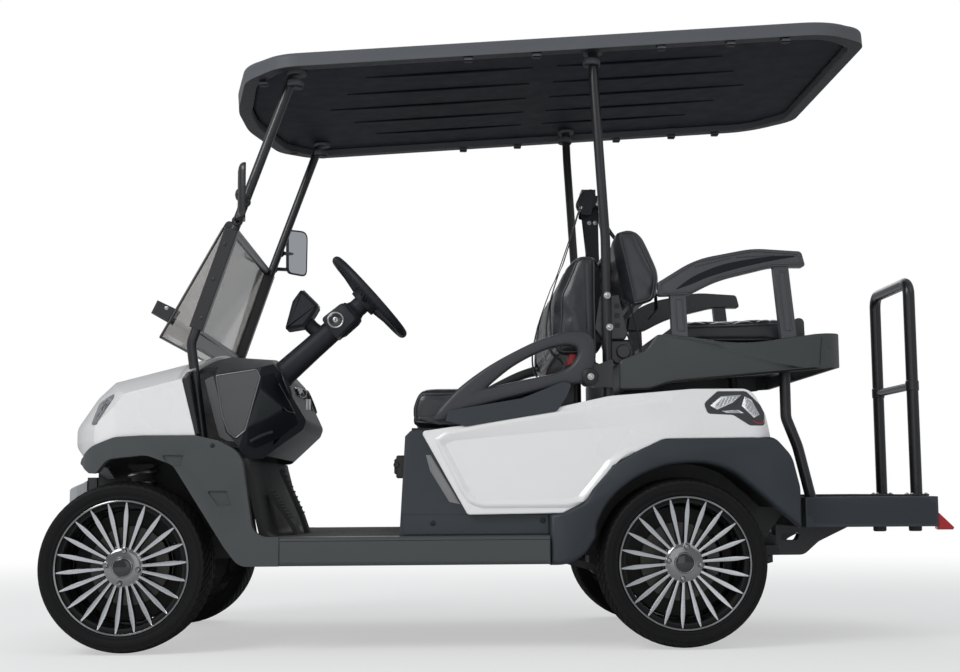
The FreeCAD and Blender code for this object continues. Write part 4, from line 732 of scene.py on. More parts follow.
@dataclass
class RoadWheel:
    """A tyre with moulded tread on a bladed alloy rim. Sizes in millimetres."""

    radius: float = 252.5
    blades: int = 22
    pitches: int = 60
    groove: float = 5.0

    # The tyre's side wall from the bead outwards: place across it and radius.
    WALL = [(86, 178), (88, 184), (89, 190), (90, 196), (92, 198.2), (96, 200.5), (98, 205), (97.4, 209),
            (100.5, 216), (102, 223), (101.5, 229), (100.5, 230.2), (100.8, 231.5), (100, 236), (97, 241.5)]

    # Stations of a blade: radius, half width, height of the machined face, depth of the body.
    STATIONS = ((52, 3.4, 74, 40), (80, 4.1, 76.5, 36), (110, 5.2, 79.5, 32), (138, 6.4, 82.5, 28),
                (153, 6.2, 84.5, 25), (170, 4.7, 87, 22), (182, 3.1, 89.5, 16), (190, 1.7, 92.5, 6))

    def tread_cut(self, turn: float, y: float) -> float:
        """Works out how deep the tread is cut.

        Args:
            turn: Angle round the wheel, in radians.
            y: Place across the tyre.

        Returns:
            The depth.
        """
        reach = abs(y)
        if reach > 101:
            return 0.0
        for middle in (16.0, 47.0):
            if abs(reach - middle) < 4.2:
                return self.groove
        phase = self.pitches * turn / (2 * math.pi) + 0.9 * (reach / 60.0) ** 1.6
        if y > 0:
            phase += 0.5
        if reach > 20 and (phase % 1.0) < 0.24:
            return self.groove * 0.75 * min(1.0, (101 - reach) / 10)
        return 0.0

    def tyre(self) -> bpy.types.Mesh:
        """Makes the tyre, with its axis through the origin along Y.

        Returns:
            The mesh.
        """
        tread = [(92.0 - 4 * k, self.radius - 9.0 * (abs(92.0 - 4 * k) / 92.0) ** 3.2) for k in range(47)]
        section = self.WALL + tread + [(-y, r) for y, r in reversed(self.WALL)]
        shape = Shape()
        rows = []
        for k in range(self.pitches * 8):
            turn = 2 * math.pi * k / (self.pitches * 8)
            row = []
            for y, r in section:
                r -= self.tread_cut(turn, y) if r > 232 else 0.0
                row.append(Vector((r * math.cos(turn) / 1000, y / 1000, r * math.sin(turn) / 1000)))
            rows.append(row)
        shape.faces(rows, 0, OPEN, True, True)
        return shape.done("road_tyre")

    def rim(self) -> bpy.types.Mesh:
        """Makes the rim, with its axis through the origin along Y and its face to -Y.

        Returns:
            The mesh.
        """
        shape, centre = Shape(-1), Vector()
        for profile, steps, index, caps in (
            (((88, 198.5), (95, 198.5), (97.5, 197), (98.3, 194.5), (97.5, 192), (94, 190.6), (88, 190)),
             128, 1, OPEN),
            (((-30, 118), (-24, 118), (-24, 58), (-30, 58), (-30, 118)), 64, 4, OPEN),
            (((88, 190), (84, 186), (78, 183.5), (60, 181), (20, 175), (-60, 171), (-92, 171), (-92, 199),
              (-88, 199), (-80, 180), (-70, 178.4), (70, 186), (80, 188), (88, 194), (88, 190)),
             128, 0, OPEN),
            (((58, 62), (70, 60), (75, 55), (77.5, 49), (79, 40), (79.5, 30), (79.5, 5)), 64, 1, ENDED),
            (((20, 66), (60, 64), (62, 60), (62, 5)), 48, 0, FULL),
            (((78, 31.5), (83, 31), (84.5, 29.4), (84, 27.4), (82.5, 27.2)), 48, 1, OPEN),
            (((80, 27.2), (83, 27), (84.6, 24), (85.8, 16), (86.3, 5)), 48, 2, ENDED),
        ):
            shape.lathe(centre, profile, steps, index, caps)
        for k in range(self.blades):
            self.blade(shape, 2 * math.pi * (k + 0.27) / self.blades)
        for k in range(4):
            turn = math.radians(82 + 90 * k)
            foot = Vector((math.cos(turn) * 0.0478, -0.073, math.sin(turn) * 0.0478))
            shape.lathe(foot, ((0, 11.5), (3.5, 11.5), (4.5, 9.8), (4.6, 1)), 24, 1, ENDED)
            shape.lathe(foot, ((3, 8.6), (14, 8.6), (17.5, 6.4), (18.6, 2)), 6, 1, ENDED)
        valve = Vector((0.168 * math.cos(0.42), -0.070, 0.168 * math.sin(0.42)))
        shape.lathe(valve, ((-14, 3.6), (8, 3.2), (9, 2.6), (16, 2.6), (17, 2.0)), 12, 2, ENDED)
        return shape.done("bladed_rim")

    def blade(self, shape: Shape, turn: float) -> None:
        """Adds one blade: a machined face on a black body.

        Args:
            shape: Shape to add to.
            turn: Its angle round the wheel, in radians.
        """
        out = Vector((math.cos(turn), 0, math.sin(turn)))
        side = Vector((-math.sin(turn), 0, math.cos(turn)))

        def across(r: float, half: float, height: float) -> list[Vector]:
            """Returns the two points of a blade at a radius, a half width and a height."""
            return [(out * r + side * s * half + Vector((0, -height, 0))) / 1000 for s in (-1, 1)]

        face, body = [], []
        for r, half, top, deep in self.STATIONS:
            left, right = across(r, half, top)
            crown = (out * r + Vector((0, -top - 0.6, 0))) / 1000
            face.append([left, crown, right])
            foot, base = across(r, half + 1.6, top - 3), across(r, half + 0.4, top - deep)
            body.append([left, foot[0], base[0], base[1], foot[1], right])
        shape.faces(face, 3, OPEN, False)
        shape.faces(body, 0, OPEN, False)
        shape.faces([body[-1], [point + out * 0.0085 for point in body[-1]]], 0, ENDED)

    @staticmethod
    def brake(name: str, side: int, centre: Vector) -> None:
        """Adds the shield and the caliper behind a wheel.

        Args:
            name: The wheel's corner of the cart.
            side: Side of the cart.
            centre: The wheel's centre, in metres.
        """
        shape = Shape(side)
        shape.lathe(centre, ((-46, 60), (-46, 168), (-30, 169), (-28, 167), (-43, 165), (-44, 60), (-46, 60)),
                    64)
        # Caliper: two jaws beside the disc and a bridge over its rim, by radius and place across.
        for inner, outer, low, high in ((84, 132, -43, -33), (84, 132, -21, -10), (122, 134, -43, -10)):
            rings = []
            for k in range(9):
                turn = math.radians(7 * (k - 4) + 8)
                reach = Vector((math.cos(turn), 0, math.sin(turn)))
                rings.append([centre + (reach * r + shape.out * y) / 1000 for r, y in
                              ((inner, low), (outer, low), (outer, high), (inner, high))])
            shape.faces(rings, 1)
        body = "knuckle_" + name.split("_")[1] if "front" in name else "chassis"
        shape.finish(f"brake_{name}", (TRIM, CASTING), "chassis_steel", 35, body)

    def build(self) -> None:
        """Puts the four wheels on their bodies."""
        tyre, rim = self.tyre(), self.rim()
        for name, side in (("front_left", -1), ("front_right", 1), ("rear_left", -1), ("rear_right", 1)):
            low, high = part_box("tyre_" + name)
            centre = (Vector(low) + Vector(high)) / 2
            self.brake(name, side, centre)
            place = Matrix.Translation(centre) @ Matrix.Rotation(math.pi * (side + 1) / 2, 4, "Z")
            for kind, mesh, finishes, slot in (
                ("tyre", tyre, (RUBBER,), "tyre"),
                ("rim", rim, (GLOSS_BLACK, POLISHED, GLOSS_BLACK, MACHINED, CASTING), "wheel_metal"),
            ):
                piece(f"road_{kind}_{name}", mesh.copy(), finishes, slot, 32, "wheel_" + name,
                      (f"{kind}_{name}",), place)
        log.info("wheels: tyres and bladed rims on four bodies")


# Seats.

@dataclass
class Pad:
    """A padded piece: a rounded block that is blown up as cloth, then gets its seams. Millimetres."""

    name: str
    node: str
    body: str
    outline: Sequence[Point]
    half: float
    swell: float
    welt: Flat
    groove: Callable[[Vector, Vector], float]
    fill: float = 0.8
    voxel: float = 8.5
    shrink: float = 7.0
    rim: float = 26.0
    room: float = 10.0
    piping: float = 3.0

    # Pressure inside the cloth, and the last frame of its run.
    PRESSURE, LAST = 4.0, 20

    def block(self) -> bpy.types.Mesh:
        """Makes the rounded block that the pad starts from.

        Returns:
            The mesh.
        """
        outline = inset(rounded(self.outline, 6), self.shrink)
        half = self.half - self.shrink
        rings = []
        for side in (-1, 1):
            for k in range(7):
                angle = math.pi / 2 * (1 - k / 6 if side < 0 else k / 6)
                y = side * (half - self.rim * (1 - math.sin(angle)))
                rings.append([(x, y, z) for x, z in inset(outline, self.rim * (1 - math.cos(angle)))])
        shape = Shape()
        shape.faces(rings)
        return shape.done(self.name)

    def inflate(self, mesh: bpy.types.Mesh) -> bpy.types.Mesh:
        """Remeshes the block and swells it as cloth under pressure.

        Args:
            mesh: The block.

        Returns:
            The swollen, subdivided mesh.
        """
        scene = bpy.context.scene
        thing = bpy.data.objects.new(self.name + "_blank", mesh)
        scene.collection.objects.link(thing)
        remesh = thing.modifiers.new("remesh", "REMESH")
        remesh.mode = "VOXEL"
        remesh.voxel_size = self.voxel / 1000
        even = self.baked(thing)
        thing.modifiers.clear()
        thing.data = even
        start = [v.co.copy() for v in even.vertices]
        cloth = thing.modifiers.new("cloth", "CLOTH")
        cloth.settings.use_pressure = True
        cloth.settings.uniform_pressure_force = self.PRESSURE
        cloth.settings.effector_weights.gravity = 0.0
        cloth.settings.quality = 4
        cloth.collision_settings.use_collision = False
        for number in range(1, self.LAST + 1):
            scene.frame_set(number)
        blown = self.baked(thing)
        thing.modifiers.clear()
        limit = self.swell / 1000
        for vertex, old, new in zip(even.vertices, start, blown.vertices):
            move = new.co - old
            if move.length > limit:
                move *= limit / move.length
            vertex.co = old + move
        scene.frame_set(1)
        thing.modifiers.new("smooth", "SMOOTH").iterations = 4
        thing.modifiers.new("finer", "SUBSURF").levels = 1
        result = self.baked(thing)
        bpy.data.objects.remove(thing)
        return result

    @staticmethod
    def baked(thing: bpy.types.Object) -> bpy.types.Mesh:
        """Applies an object's modifiers.

        Args:
            thing: The object.

        Returns:
            Its new mesh.
        """
        graph = bpy.context.evaluated_depsgraph_get()
        graph.update()
        return bpy.data.meshes.new_from_object(thing.evaluated_get(graph), depsgraph=graph)

    def settle(self, mesh: bpy.types.Mesh) -> None:
        """Presses the seams into the swollen mesh and keeps it in the space of its solid.

        Args:
            mesh: The swollen mesh.
        """
        low, high = (Vector(corner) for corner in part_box(self.node))
        floor_z = low.z + 0.0003
        reach = Vector((1, 1, 1)) * self.room / 1000
        low, high = low - reach, high + reach
        mesh.update()
        normals = [v.normal.copy() for v in mesh.vertices]
        for vertex, normal in zip(mesh.vertices, normals):
            point = vertex.co
            local = Vector(((point.x - AXLE_X) * 1000, point.y * 1000, point.z * 1000))
            point = point - normal * self.groove(local, normal) / 1000
            point = Vector([min(max(c, a), b) for c, a, b in zip(point, low, high)])
            point.z = max(point.z, floor_z)
            vertex.co = point

    def piped(self, mesh: bpy.types.Mesh) -> None:
        """Lays the piping round the pad's two ends.

        Args:
            mesh: The finished pad's mesh.
        """
        tree = BVHTree.FromPolygons([v.co for v in mesh.vertices], [p.vertices for p in mesh.polygons])
        shape = Shape()
        y, depth = self.welt
        for side in (-1, 1):
            outline = inset(rounded(self.outline, 8), depth)
            snapped = []
            for point in smooth_path([at(x, side * y, z) for x, z in outline], 3, True):
                hit, normal, _, _ = tree.find_nearest(point)
                snapped.append(hit + normal * 0.0012)
            shape.tube(snapped, self.piping, 8, 0, True)
        shape.finish(self.name + "_piping", (PIPING,), "seat_vinyl", 60, self.body)

    def build(self) -> None:
        """Makes the pad and its piping."""
        mesh = self.inflate(self.block())
        self.settle(mesh)
        thing = piece(self.name, mesh, (VINYL,), "seat_vinyl", 60, self.body, (self.node,))
        self.piped(mesh)
        log.info("%s: padded piece with %d faces", self.name, len(mesh.polygons))


def line_dip(distance: float, depth: float, width: float) -> float:
    """Returns how deep a sewn line presses at a distance from it, all in millimetres."""
    return depth * math.exp(-(distance / width) ** 2)


def diamonds(u: float, v: float, pitch: float) -> float:
    """Returns the distance to the nearest line of a diamond quilt."""
    return min(abs((way / pitch) % 1.0 - 0.5) for way in (u + v, u - v)) * pitch / math.sqrt(2)


@dataclass
class Seats:
    """The four padded pieces of the two benches. Sizes in millimetres."""

    quilt: float = 74.0
    panel_from: float = 34.0
    panel_to: float = 430.0

    def panel(self, u: float, v: float, v_from: float, v_to: float) -> float:
        """Returns the dip of a quilted panel with its border at a place on the pad's face.

        Args:
            u: Place across the cart.
            v: Place up or along the face.
            v_from: Panel's lower border.
            v_to: Panel's upper border.

        Returns:
            The dip.
        """
        u = abs(u)
        border = max(self.panel_from - u, u - self.panel_to, v_from - v, v - v_to)
        if border > 12:
            return 0.0
        dip = line_dip(border, 3.0, 4.5)
        if border < -4:
            dip = max(dip, line_dip(diamonds(u, v, self.quilt), 3.2, 5.5))
        return dip

    def back_groove(self, point: Vector, normal: Vector) -> float:
        """Works out the front backrest's seams.

        Args:
            point: Millimetres from the front axle.
            normal: Direction of the surface.

        Returns:
            The dip.
        """
        if normal.x < -0.45:
            return self.panel(point.y, point.z, 912, 1150)
        if abs(normal.y) > 0.6:
            return line_dip(point.x - (1392 - 0.02 * (point.z - 900)), 1.6, 2.5)
        return 0.0

    def cushion_groove(self, point: Vector, normal: Vector) -> float:
        """Works out the front cushion's seams.

        Args:
            point: Millimetres from the front axle.
            normal: Direction of the surface.

        Returns:
            The dip.
        """
        if normal.z > 0.6:
            return self.panel(point.y, point.x, 912, 1240)
        return line_dip(point.z - 694, 1.8, 2.5) if abs(normal.z) < 0.5 else 0.0

    def rear_back_groove(self, point: Vector, normal: Vector) -> float:
        """Returns the dip of the rear backrest's seams at a point."""
        return self.panel(point.y, point.z, 1062, 1240) if normal.x > 0.45 else 0.0

    def rear_cushion_groove(self, point: Vector, normal: Vector) -> float:
        """Returns the dip of the rear cushion's seams at a point."""
        return self.panel(point.y, point.x, 1712, 1975) if normal.z > 0.6 else 0.0

    def build(self) -> None:
        """Makes the four pads."""
        # Outlines: X, Z and corner radius, as the solids they stand for.
        Pad("front_cushion_pad", "front_seat_cushion", "front_seat",
            ((841, 660, 12), (1291, 660, 4), (1291, 778, 30), (861, 778, 46), (841, 722, 34)),
            500, 12, (486, 10), self.cushion_groove).build()
        Pad("front_back_pad", "front_seat_back", "chassis",
            ((1283, 872, 30), (1296, 1065, 150), (1354, 1202, 44), (1430.7, 1202, 38), (1430.7, 872, 24)),
            500, 14, (484, 10), self.back_groove).build()
        Pad("rear_back_pad", "rear_seat_back", "chassis",
            ((1472, 1276, 22), (1548, 1290, 48), (1614, 1130, 110), (1604, 1038, 40), (1524, 1020, 18)),
            495, 14, (482, 8), self.rear_back_groove).build()
        Pad("rear_cushion_pad", "rear_seat_cushion", "rear_seat",
            ((1640, 917, 12), (2040, 917, 12), (2040, 999, 34), (1640, 989, 34)),
            442, 12, (428, 8), self.rear_cushion_groove).build()


# Side panels.

@dataclass
class SidePanel:
    """Pressed lines, seams and fixings of one side of the cart. Sizes in millimetres."""

    side: int
    crest: float = 7.5
    seam: float = 1.1
    screw: float = 8.5

    # Rear panel: the foot of the pressed line, and its crest outside it.
    FOOT = ((1620, 640), (1437, 628), (1250, 622), (1111, 616), (985, 610), (958, 603), (998, 528),
            (1038, 453), (1048, 447), (1062, 446), (1180, 447), (1303, 448), (1340, 456), (1376, 499),
            (1424, 557), (1480, 596), (1560, 612))
    CREST = ((1620, 727), (1437, 713), (1307, 698), (1111, 666), (960, 637), (930, 618), (970, 538),
             (1013, 457), (1030, 440), (1063, 431), (1180, 431), (1310, 431), (1352, 441), (1392, 488),
             (1438, 546), (1490, 581), (1566, 600))

    @staticmethod
    def resampled(points: Sequence[Flat], count: int = 5) -> list[Flat]:
        """Splits each run between two points into equal steps."""
        return [between(a, b, share) for a, b in zip(points, points[1:])
                for share in shares(count)[:-1]] + [points[-1]]

    def pressed_line(self) -> None:
        """Raises the border round the rear panel's shallow recess."""
        shape = Shape(self.side)
        foot, crest = self.resampled(self.FOOT), self.resampled(self.CREST)
        columns = []
        for k, (low, high) in enumerate(zip(foot, crest)):
            low = between(low, high, 0.25)
            height = self.crest * min(1.0, k / 10, (len(foot) - 1 - k) / 10)
            run = max(6.0, math.dist(low, high))
            columns.append(((*low, -0.3), (*between(low, high, 0.85), height * 0.9), (*high, height),
                            (*between(high, low, -6 / run), height * 0.9),
                            (*between(high, low, -14 / run), -0.3)))
        Skin("rear_body", shape).ridge(list(zip(*columns)))
        shape.finish(f"rear_panel_line_{self.side}", (PEARL,), "white_panel", 50)

    def trim(self) -> None:
        """Adds the base's plinth, inset strip, catch, seams and screws."""
        shape = Shape(self.side)
        Skin("seat_base", shape).patch(((893, 576), (907, 576), (995, 430), (962, 437), (905, 530)), 1.6, 1)
        shape.plate(((826, 341), (1257, 341), (1257, 398), (822, 400)), 566.5, 569.5, 0, 1.0)
        for x, z in ((913, 375), (1239, 381)):
            shape.bolt((x, 569, z), self.screw, 4.0, 2)
        shape.block((804, 524, 508), (832, 556, 576), 2, 4)
        shape.rod((805, 560, 548), (805, 520, 548), 9, 24, 2, 2)
        shape.block((798, 528, 520), (810, 552, 566), 2, 4)
        shape.bolt(Skin("front_cladding", shape).on(265, 607, 0.0), 7, 3.0, 2)
        sill = Skin("sills", shape)
        for x in (463, 1258):
            sill.line(((x, 262), (x, 330)), self.seam, 2)
        sill.line(((466, 326), (860, 326), (1256, 326)), 0.8, 2)
        shape.finish(f"base_trim_{self.side}", (CLADDING, SATIN, TRIM), "dark_plastic", 40)

    def covers(self) -> None:
        """Adds the cover between the front cushion and its base, and the strip behind the nose panel."""
        shape = Shape(self.side)
        outline = rounded(((960, 690, 4), (1010, 700, 20), (1070, 760, 30), (1240, 785, 40), (1340, 812, 8),
                           (1340, 700, 6), (1284, 690, 20), (1012, 655, 10)), 4)
        shape.plate(outline, 518, 530, 0, 3)
        shape.finish(f"seat_skirt_{self.side}", (RESTRAINT,), "dark_plastic", 45)
        shape = Shape(self.side)
        shape.plate(((172, 806), (192, 810), (224, 641), (211, 640)), 560, 592.4, 0, 2.0)
        shape.finish(f"nose_strip_{self.side}", (TRIM,), "dark_plastic", 40)

    def build(self) -> None:
        """Builds the side."""
        self.pressed_line()
        self.trim()
        self.covers()


@dataclass
class HipRestraint:
    """A loop with rounded rims that turns about its rear end. Sizes in millimetres."""

    side: int
    boss: float = 26.0

    # The loop's rim, and the window's rim beside it point by point.
    LOOP = ((917, 691), (961, 746), (1017, 795), (1086, 843), (1162, 885), (1238, 920), (1314, 942),
            (1371, 943), (1399, 917), (1404, 879), (1397, 835), (1370, 796), (1287, 777), (1199, 757),
            (1111, 735), (1010, 705), (942, 680))
    WINDOW = ((1080, 779), (1114, 809), (1149, 836), (1187, 859), (1225, 878), (1263, 893), (1307, 902),
              (1339, 899), (1350, 887), (1347, 867), (1328, 842), (1294, 822), (1249, 811), (1199, 801),
              (1149, 791), (1105, 781), (1086, 777))
    # Section of the loop: share of the way inwards, and share of the width.
    SECTION = ((0, -0.30), (0, 0.30), (0.07, 0.44), (0.18, 0.5), (0.80, 0.5), (0.93, 0.44), (1, 0.30),
               (1, -0.30), (0.93, -0.44), (0.80, -0.5), (0.18, -0.5), (0.07, -0.44))

    def build(self) -> None:
        """Builds the restraint of the side."""
        name = "hip_restraint_left" if self.side < 0 else "hip_restraint_right"
        low, high = (1000 * corner[1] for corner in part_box(name))
        middle, width = (low + high) / 2, high - low
        shape = Shape()
        rings = []
        for rim, edge in zip(smooth_path(self.LOOP, 5, True), smooth_path(self.WINDOW, 5, True)):
            section = [(rim.lerp(edge, share), across) for share, across in self.SECTION]
            rings.append([(point.x, middle + width * across, point.y) for point, across in section])
        shape.faces(rings, 0, OPEN, True, True)
        shape.rod((1386, low + 1, 806), (1386, high - 1, 806), self.boss, 36, 0, 6)
        shape.finish(f"restraint_loop_{self.side}", (RESTRAINT,), "dark_plastic", 50, name, (name,))


@dataclass
class Arches:
    """Dark arches over the rear wheels, with crowned edges. Sizes in millimetres."""

    inner: float = 555.0
    outer: float = 600.0

    # Outside of an arch: X, Z and corner radius. The last corner only ends the one before it.
    RISE = ((1259, 398, 0), (1298, 406, 30), (1364, 438, 60), (1389, 485, 70), (1440, 542, 120),
            (1528, 592, 160), (1605, 622, 120), (1936, 624, 50), (1986, 566, 90), (2008, 472, 90),
            (2007, 350, 0), (1259, 250, 0))
    # Rear wheel's opening, from the step round to the sill.
    OPENING = ((1931, 414), (1864, 474), (1805, 520), (1737, 544), (1669, 547), (1592, 536),
               (1509, 499), (1439, 440), (1401, 373), (1397, 335), (1385, 313), (1367, 287), (1342, 268),
               (1303, 252), (1259, 250))

    def build(self) -> None:
        """Builds the arches of both sides."""
        shape = Shape()
        outline = rounded(self.RISE, 7)[:-1] + [tuple(point) for point in smooth_path(self.OPENING, 4)]
        for _ in shape.sides():
            shape.faces([[(x, y, z) for x, z in inset(outline, shrink)]
                         for y, shrink in ((self.inner, 0), (579, 0), (589, 2), (596, 6), (self.outer, 12))])
        shape.finish("wheel_arches", (CLADDING,), "dark_plastic", 60, "chassis", ("rear_flares",))


@dataclass
class Lamps:
    """Inner parts of the lamps on one side, laid just under and over their covers. Sizes in millimetres."""

    side: int
    steps: int = 32

    def head(self) -> None:
        """Fills the headlamp."""
        shape = Shape(self.side)
        skin = Skin("headlamps", shape)
        skin.line(((-40, 762), (-66, 753), (-88, 742)), 2.6)
        skin.line(((-52, 740), (-70, 722), (-86, 690)), 1.6, 1)
        for x, z, radius in ((-76, 728, 11), (-86, 702, 9)):
            middle = skin.on(x, z, 0.0)
            out = skin.on(x, z, 1000) - middle
            shape.lathe(middle, ((-3, radius + 3), (1.2, radius + 3), (2.0, radius + 1.5),
                                 (0.8, radius - 0.5)), self.steps, 1, OPEN, out)
            shape.lathe(middle, ((0.6, radius), (2.0, radius * 0.8), (3.0, radius * 0.45), (3.3, 0.5)),
                        self.steps, 2, OPEN, out)
        shape.finish(f"headlamp_parts_{self.side}", (LAMP_WHITE, SATIN, LENS), "headlamp_lens", 40)

    def tail(self) -> None:
        """Fills the tail lamp."""
        shape = Shape(self.side)
        skin = Skin("tail_lamps", shape)
        for outline in (((1742, 717), (1774, 745), (1836, 749), (1810, 726), (1763, 705)),
                        ((1846, 744), (1866, 733), (1890, 690), (1872, 680), (1836, 716)),
                        ((1776, 701), (1826, 704), (1842, 694), (1790, 695))):
            skin.patch(outline, 1.2, 1)
        for start, end, count, along, down in (((1782, 741), (1832, 744), 5, 14, 26),
                                               ((1852, 737), (1880, 694), 4, 12, 18)):
            for share in shares(count):
                x, z = between(start, end, share)
                skin.line(((x, z), (x - along, z - down)), 0.9, 2)
        skin.line(((1868, 672), (1882, 664), (1900, 664), (1902, 674)), 1.6)
        shape.finish(f"tail_lamp_parts_{self.side}", (RED_LENS, CHROME, TRIM), "tail_lamp_lens", 40)

    def build(self) -> None:
        """Builds the two lamps' inner parts."""
        self.head()
        self.tail()


# Dashboard and steering.

@dataclass
class Cockpit:
    """Dashboard facets, column, instrument pod, steering wheel pad and pedals. Sizes in millimetres."""

    column_y: float = -300.0
    centre: Flat = (711.0, 1087.0)
    angle: float = math.radians(42.0)

    def __post_init__(self) -> None:
        """Works out the steering wheel's centre and the column's directions."""
        self.middle = at(self.centre[0], self.column_y, self.centre[1])
        self.axis = Vector((math.cos(self.angle), 0, math.sin(self.angle)))
        self.across = Vector((-self.axis.z, 0, self.axis.x))

    @staticmethod
    def corner(x: float, z: float, lift: float) -> Point:
        """Finds a place off the dashboard's slanted corner.

        Args:
            x: Place along the cart.
            z: Height.
            lift: Distance off the corner's face.

        Returns:
            The place.
        """
        y = -520 + (38380 * (x - 392) - 10260 * (z - 827)) / 29684
        point = Vector((x, y, z)) + Vector((38380, -29684, -10260)).normalized() * lift
        return point.x, -point.y, point.z

    def facets(self, side: int) -> None:
        """Lays the facets of a dashboard's end, in colours of painted highlight, painted light and painted
        shade.

        Args:
            side: Side of the cart.
        """
        shape = Shape(side)
        # A grey panel, a painted highlight on the black dash, with a satin rim round it.
        panel = rounded(((262, 819, 4), (382, 837, 8), (392, 815, 10), (349, 656, 10), (322, 633, 6),
                         (300, 651, 8), (282, 700, 20)), 3)
        shape.plate(panel, 519.5, 523, 0, 2.0)
        shape.tube([(x, 522.4, z) for x, z in inset(panel, -1.2)], 1.8, 8, 3, True)
        shape.plate(((226, 806), (253, 820), (274, 738), (292, 650), (320, 620), (296, 622), (272, 636),
                     (258, 684)), 519.5, 522, 0, 1.0)
        # Facets in the darker colour are painted shade; the one in the lighter colour is painted light.
        for outline, lift, index in (
            (((397, 820), (428, 832), (440, 800), (480, 716), (452, 731), (394, 786)), 1.4, 1),
            (((391, 780), (449, 727), (411, 699), (359, 669), (351, 660)), 1.6, 2),
            (((455, 722), (484, 706), (491, 684), (440, 637), (374, 602), (352, 612), (356, 662), (412, 694)),
             1.0, 1),
        ):
            shape.faces([[self.corner(x, z, height) for x, z in scaled(outline, share)] for share, height in
                         ((1.0, -0.5), (1.0, lift * 0.6), (0.96, lift), (0.02, lift))], index, ENDED)
        # Satin lines along the corner's edges, and a bar in the lighter colour of painted light.
        for points, radius, index in (
            (((451, 729), (460, 721), (470, 717), (482, 715)), 1.5, 3),
            (((441, 800), (462, 757), (482, 714)), 1.5, 3),
            (((358, 622), (376, 634), (396, 645), (418, 654)), 5.0, 2),
        ):
            shape.cord([self.corner(x, z, 1.6) for x, z in points], radius, 10, index, 5)
        shape.finish(f"dash_facets_{side}", (DASH_HIGHLIGHT, DASH_SHADE, DASH_SOFT_LIGHT, SATIN), "dash_plastic", 30)

    @staticmethod
    def face(along: float, y: float, lift: float) -> Vector:
        """Returns a point off the dashboard's face, at a share of the way up it."""
        x, z = between((478, 758), (448, 832), along)
        return at(x + 0.927 * lift, y, z + 0.376 * lift)

    def controls(self) -> None:
        """Adds the key, switches and cup wells on the dashboard's face."""
        shape = Shape()
        out = Vector((0.927, 0, 0.376))
        for y, radius, index in ((-150, 13, 2), (-110, 11, 0), (-70, 11, 0)):
            shape.lathe(self.face(0.5, y, 0), ((-2, radius + 4), (3, radius + 4), (5, radius + 1.5),
                                               (6, radius), (9, radius * 0.85), (9.5, 1)),
                        32, index, OPEN, out)
        key = self.face(0.5, -150, 9)
        shape.lathe(key, ((-1.5, 1), (-1.5, 12), (1.5, 12), (1.5, 1)), 24, 1)
        shape.tube([key + out * 0.016 + Vector((0.012 * a, 0, 0.014 * (b - 1)))
                    for a, b in circle(0, 0, 1, 20)], 1.3, 8, 1, True)
        for shift in (-4, 4):
            shape.block((500 + shift, -153 + shift, 736), (508 + shift, -150 + shift, 772), 1, 0.8)
        for y in (-430, 250, 400):
            shape.lathe(self.face(0.52, y, -0.5), ((0, 46), (4, 46), (6, 43), (4, 39), (0.8, 38), (0.8, 1)),
                        48, 0, OPEN, out)
        for k in range(5):
            shape.rod(self.face(0.5, -30 + 34 * k, 4), self.face(0.5, -8 + 34 * k, 4), 7, 16)
        shape.finish("dash_controls", (DASH, STEEL, GLOSS_BLACK), "dash_plastic", 35)

    def column(self) -> None:
        """Makes the column with its switch box, lock and the pod on its neck."""
        shape = Shape()
        shape.lathe(self.middle, ((-400, 30), (-385, 40), (-372, 43), (-360, 40), (-250, 37), (-160, 36),
                                  (-150, 40), (-138, 44), (-84, 44), (-70, 40), (-66, 34), (-56, 30),
                                  (-40, 28), (-24, 24)), 48, 0, FULL, self.axis)
        rings = []
        for y, grow in ((-348, -7), (-343, 0), (-268, 0), (-263, -7)):
            scale = 1 + grow / 50
            ring = []
            for along, up in rounded(((-168, -37, 12), (-76, -32, 16), (-72, 40, 18), (-162, 46, 14)), 4):
                point = (self.middle + self.axis * (along * scale - 110 * (1 - scale)) / 1000
                         + self.across * up * scale / 1000)
                ring.append(Vector((point.x, y / 1000, point.z)))
            rings.append(ring)
        shape.faces(rings)
        self.lock(shape)
        outline = rounded(((497, 1108, 8), (552, 1054, 8), (536, 1026, 8), (508, 988, 10), (446, 978, 8),
                           (470, 1070, 14)), 4)
        shape.plate(outline, self.column_y - 50, self.column_y + 50, 0, 9)
        window = [at(x, y, z) for x, z, y in ((504, 1105, -340), (550, 1059, -340), (550, 1059, -260),
                                              (504, 1105, -260))]
        lift = Vector((0.7, 0, 0.7)) * 0.0016
        shape.faces([[p - lift * 3 for p in window], [p + lift for p in window]], 2, ENDED)
        shape.cord([(512, -300, 1010), (534, -300, 986), (566, -300, 966)], 22, 20, 0, 6)
        shape.rod((668, -262, 1066), (700, -196, 1072), 6, 16, 0, 2)
        shape.rod((694, -206, 1071), (706, -178, 1074), 10, 20, 0, 4)
        shape.finish("column_and_pod", (DASH, STEEL, GLOSS_BLACK), "dash_plastic", 40, "chassis",
                     ("steering_column",))

    def lock(self, shape: Shape) -> None:
        """Adds the ignition lock on the left of the switch box.

        Args:
            shape: Shape to add to.
        """
        lock = self.middle - self.axis * 0.130 + self.across * 0.012
        lock.y = -0.3478
        for profile, steps, index in (
            (((-2, 26), (2.2, 26), (3.4, 24), (2.0, 21)), 40, 1),
            (((0, 21), (3.2, 20.6), (4.0, 19), (4.0, 1)), 40, 2),
            (((3, 9), (6.2, 8.6), (7.0, 7), (7.0, 1)), 24, 1),
        ):
            shape.lathe(lock, profile, steps, index, OPEN, Vector((0, -1, 0)))
        shape.plate([(1000 * (lock.x - AXLE_X) + a, 1000 * lock.z + b) for a, b in
                     ((-1.2, -5), (1.2, -5), (1.2, 5), (-1.2, 5))], -354.4, -355.2, 2)

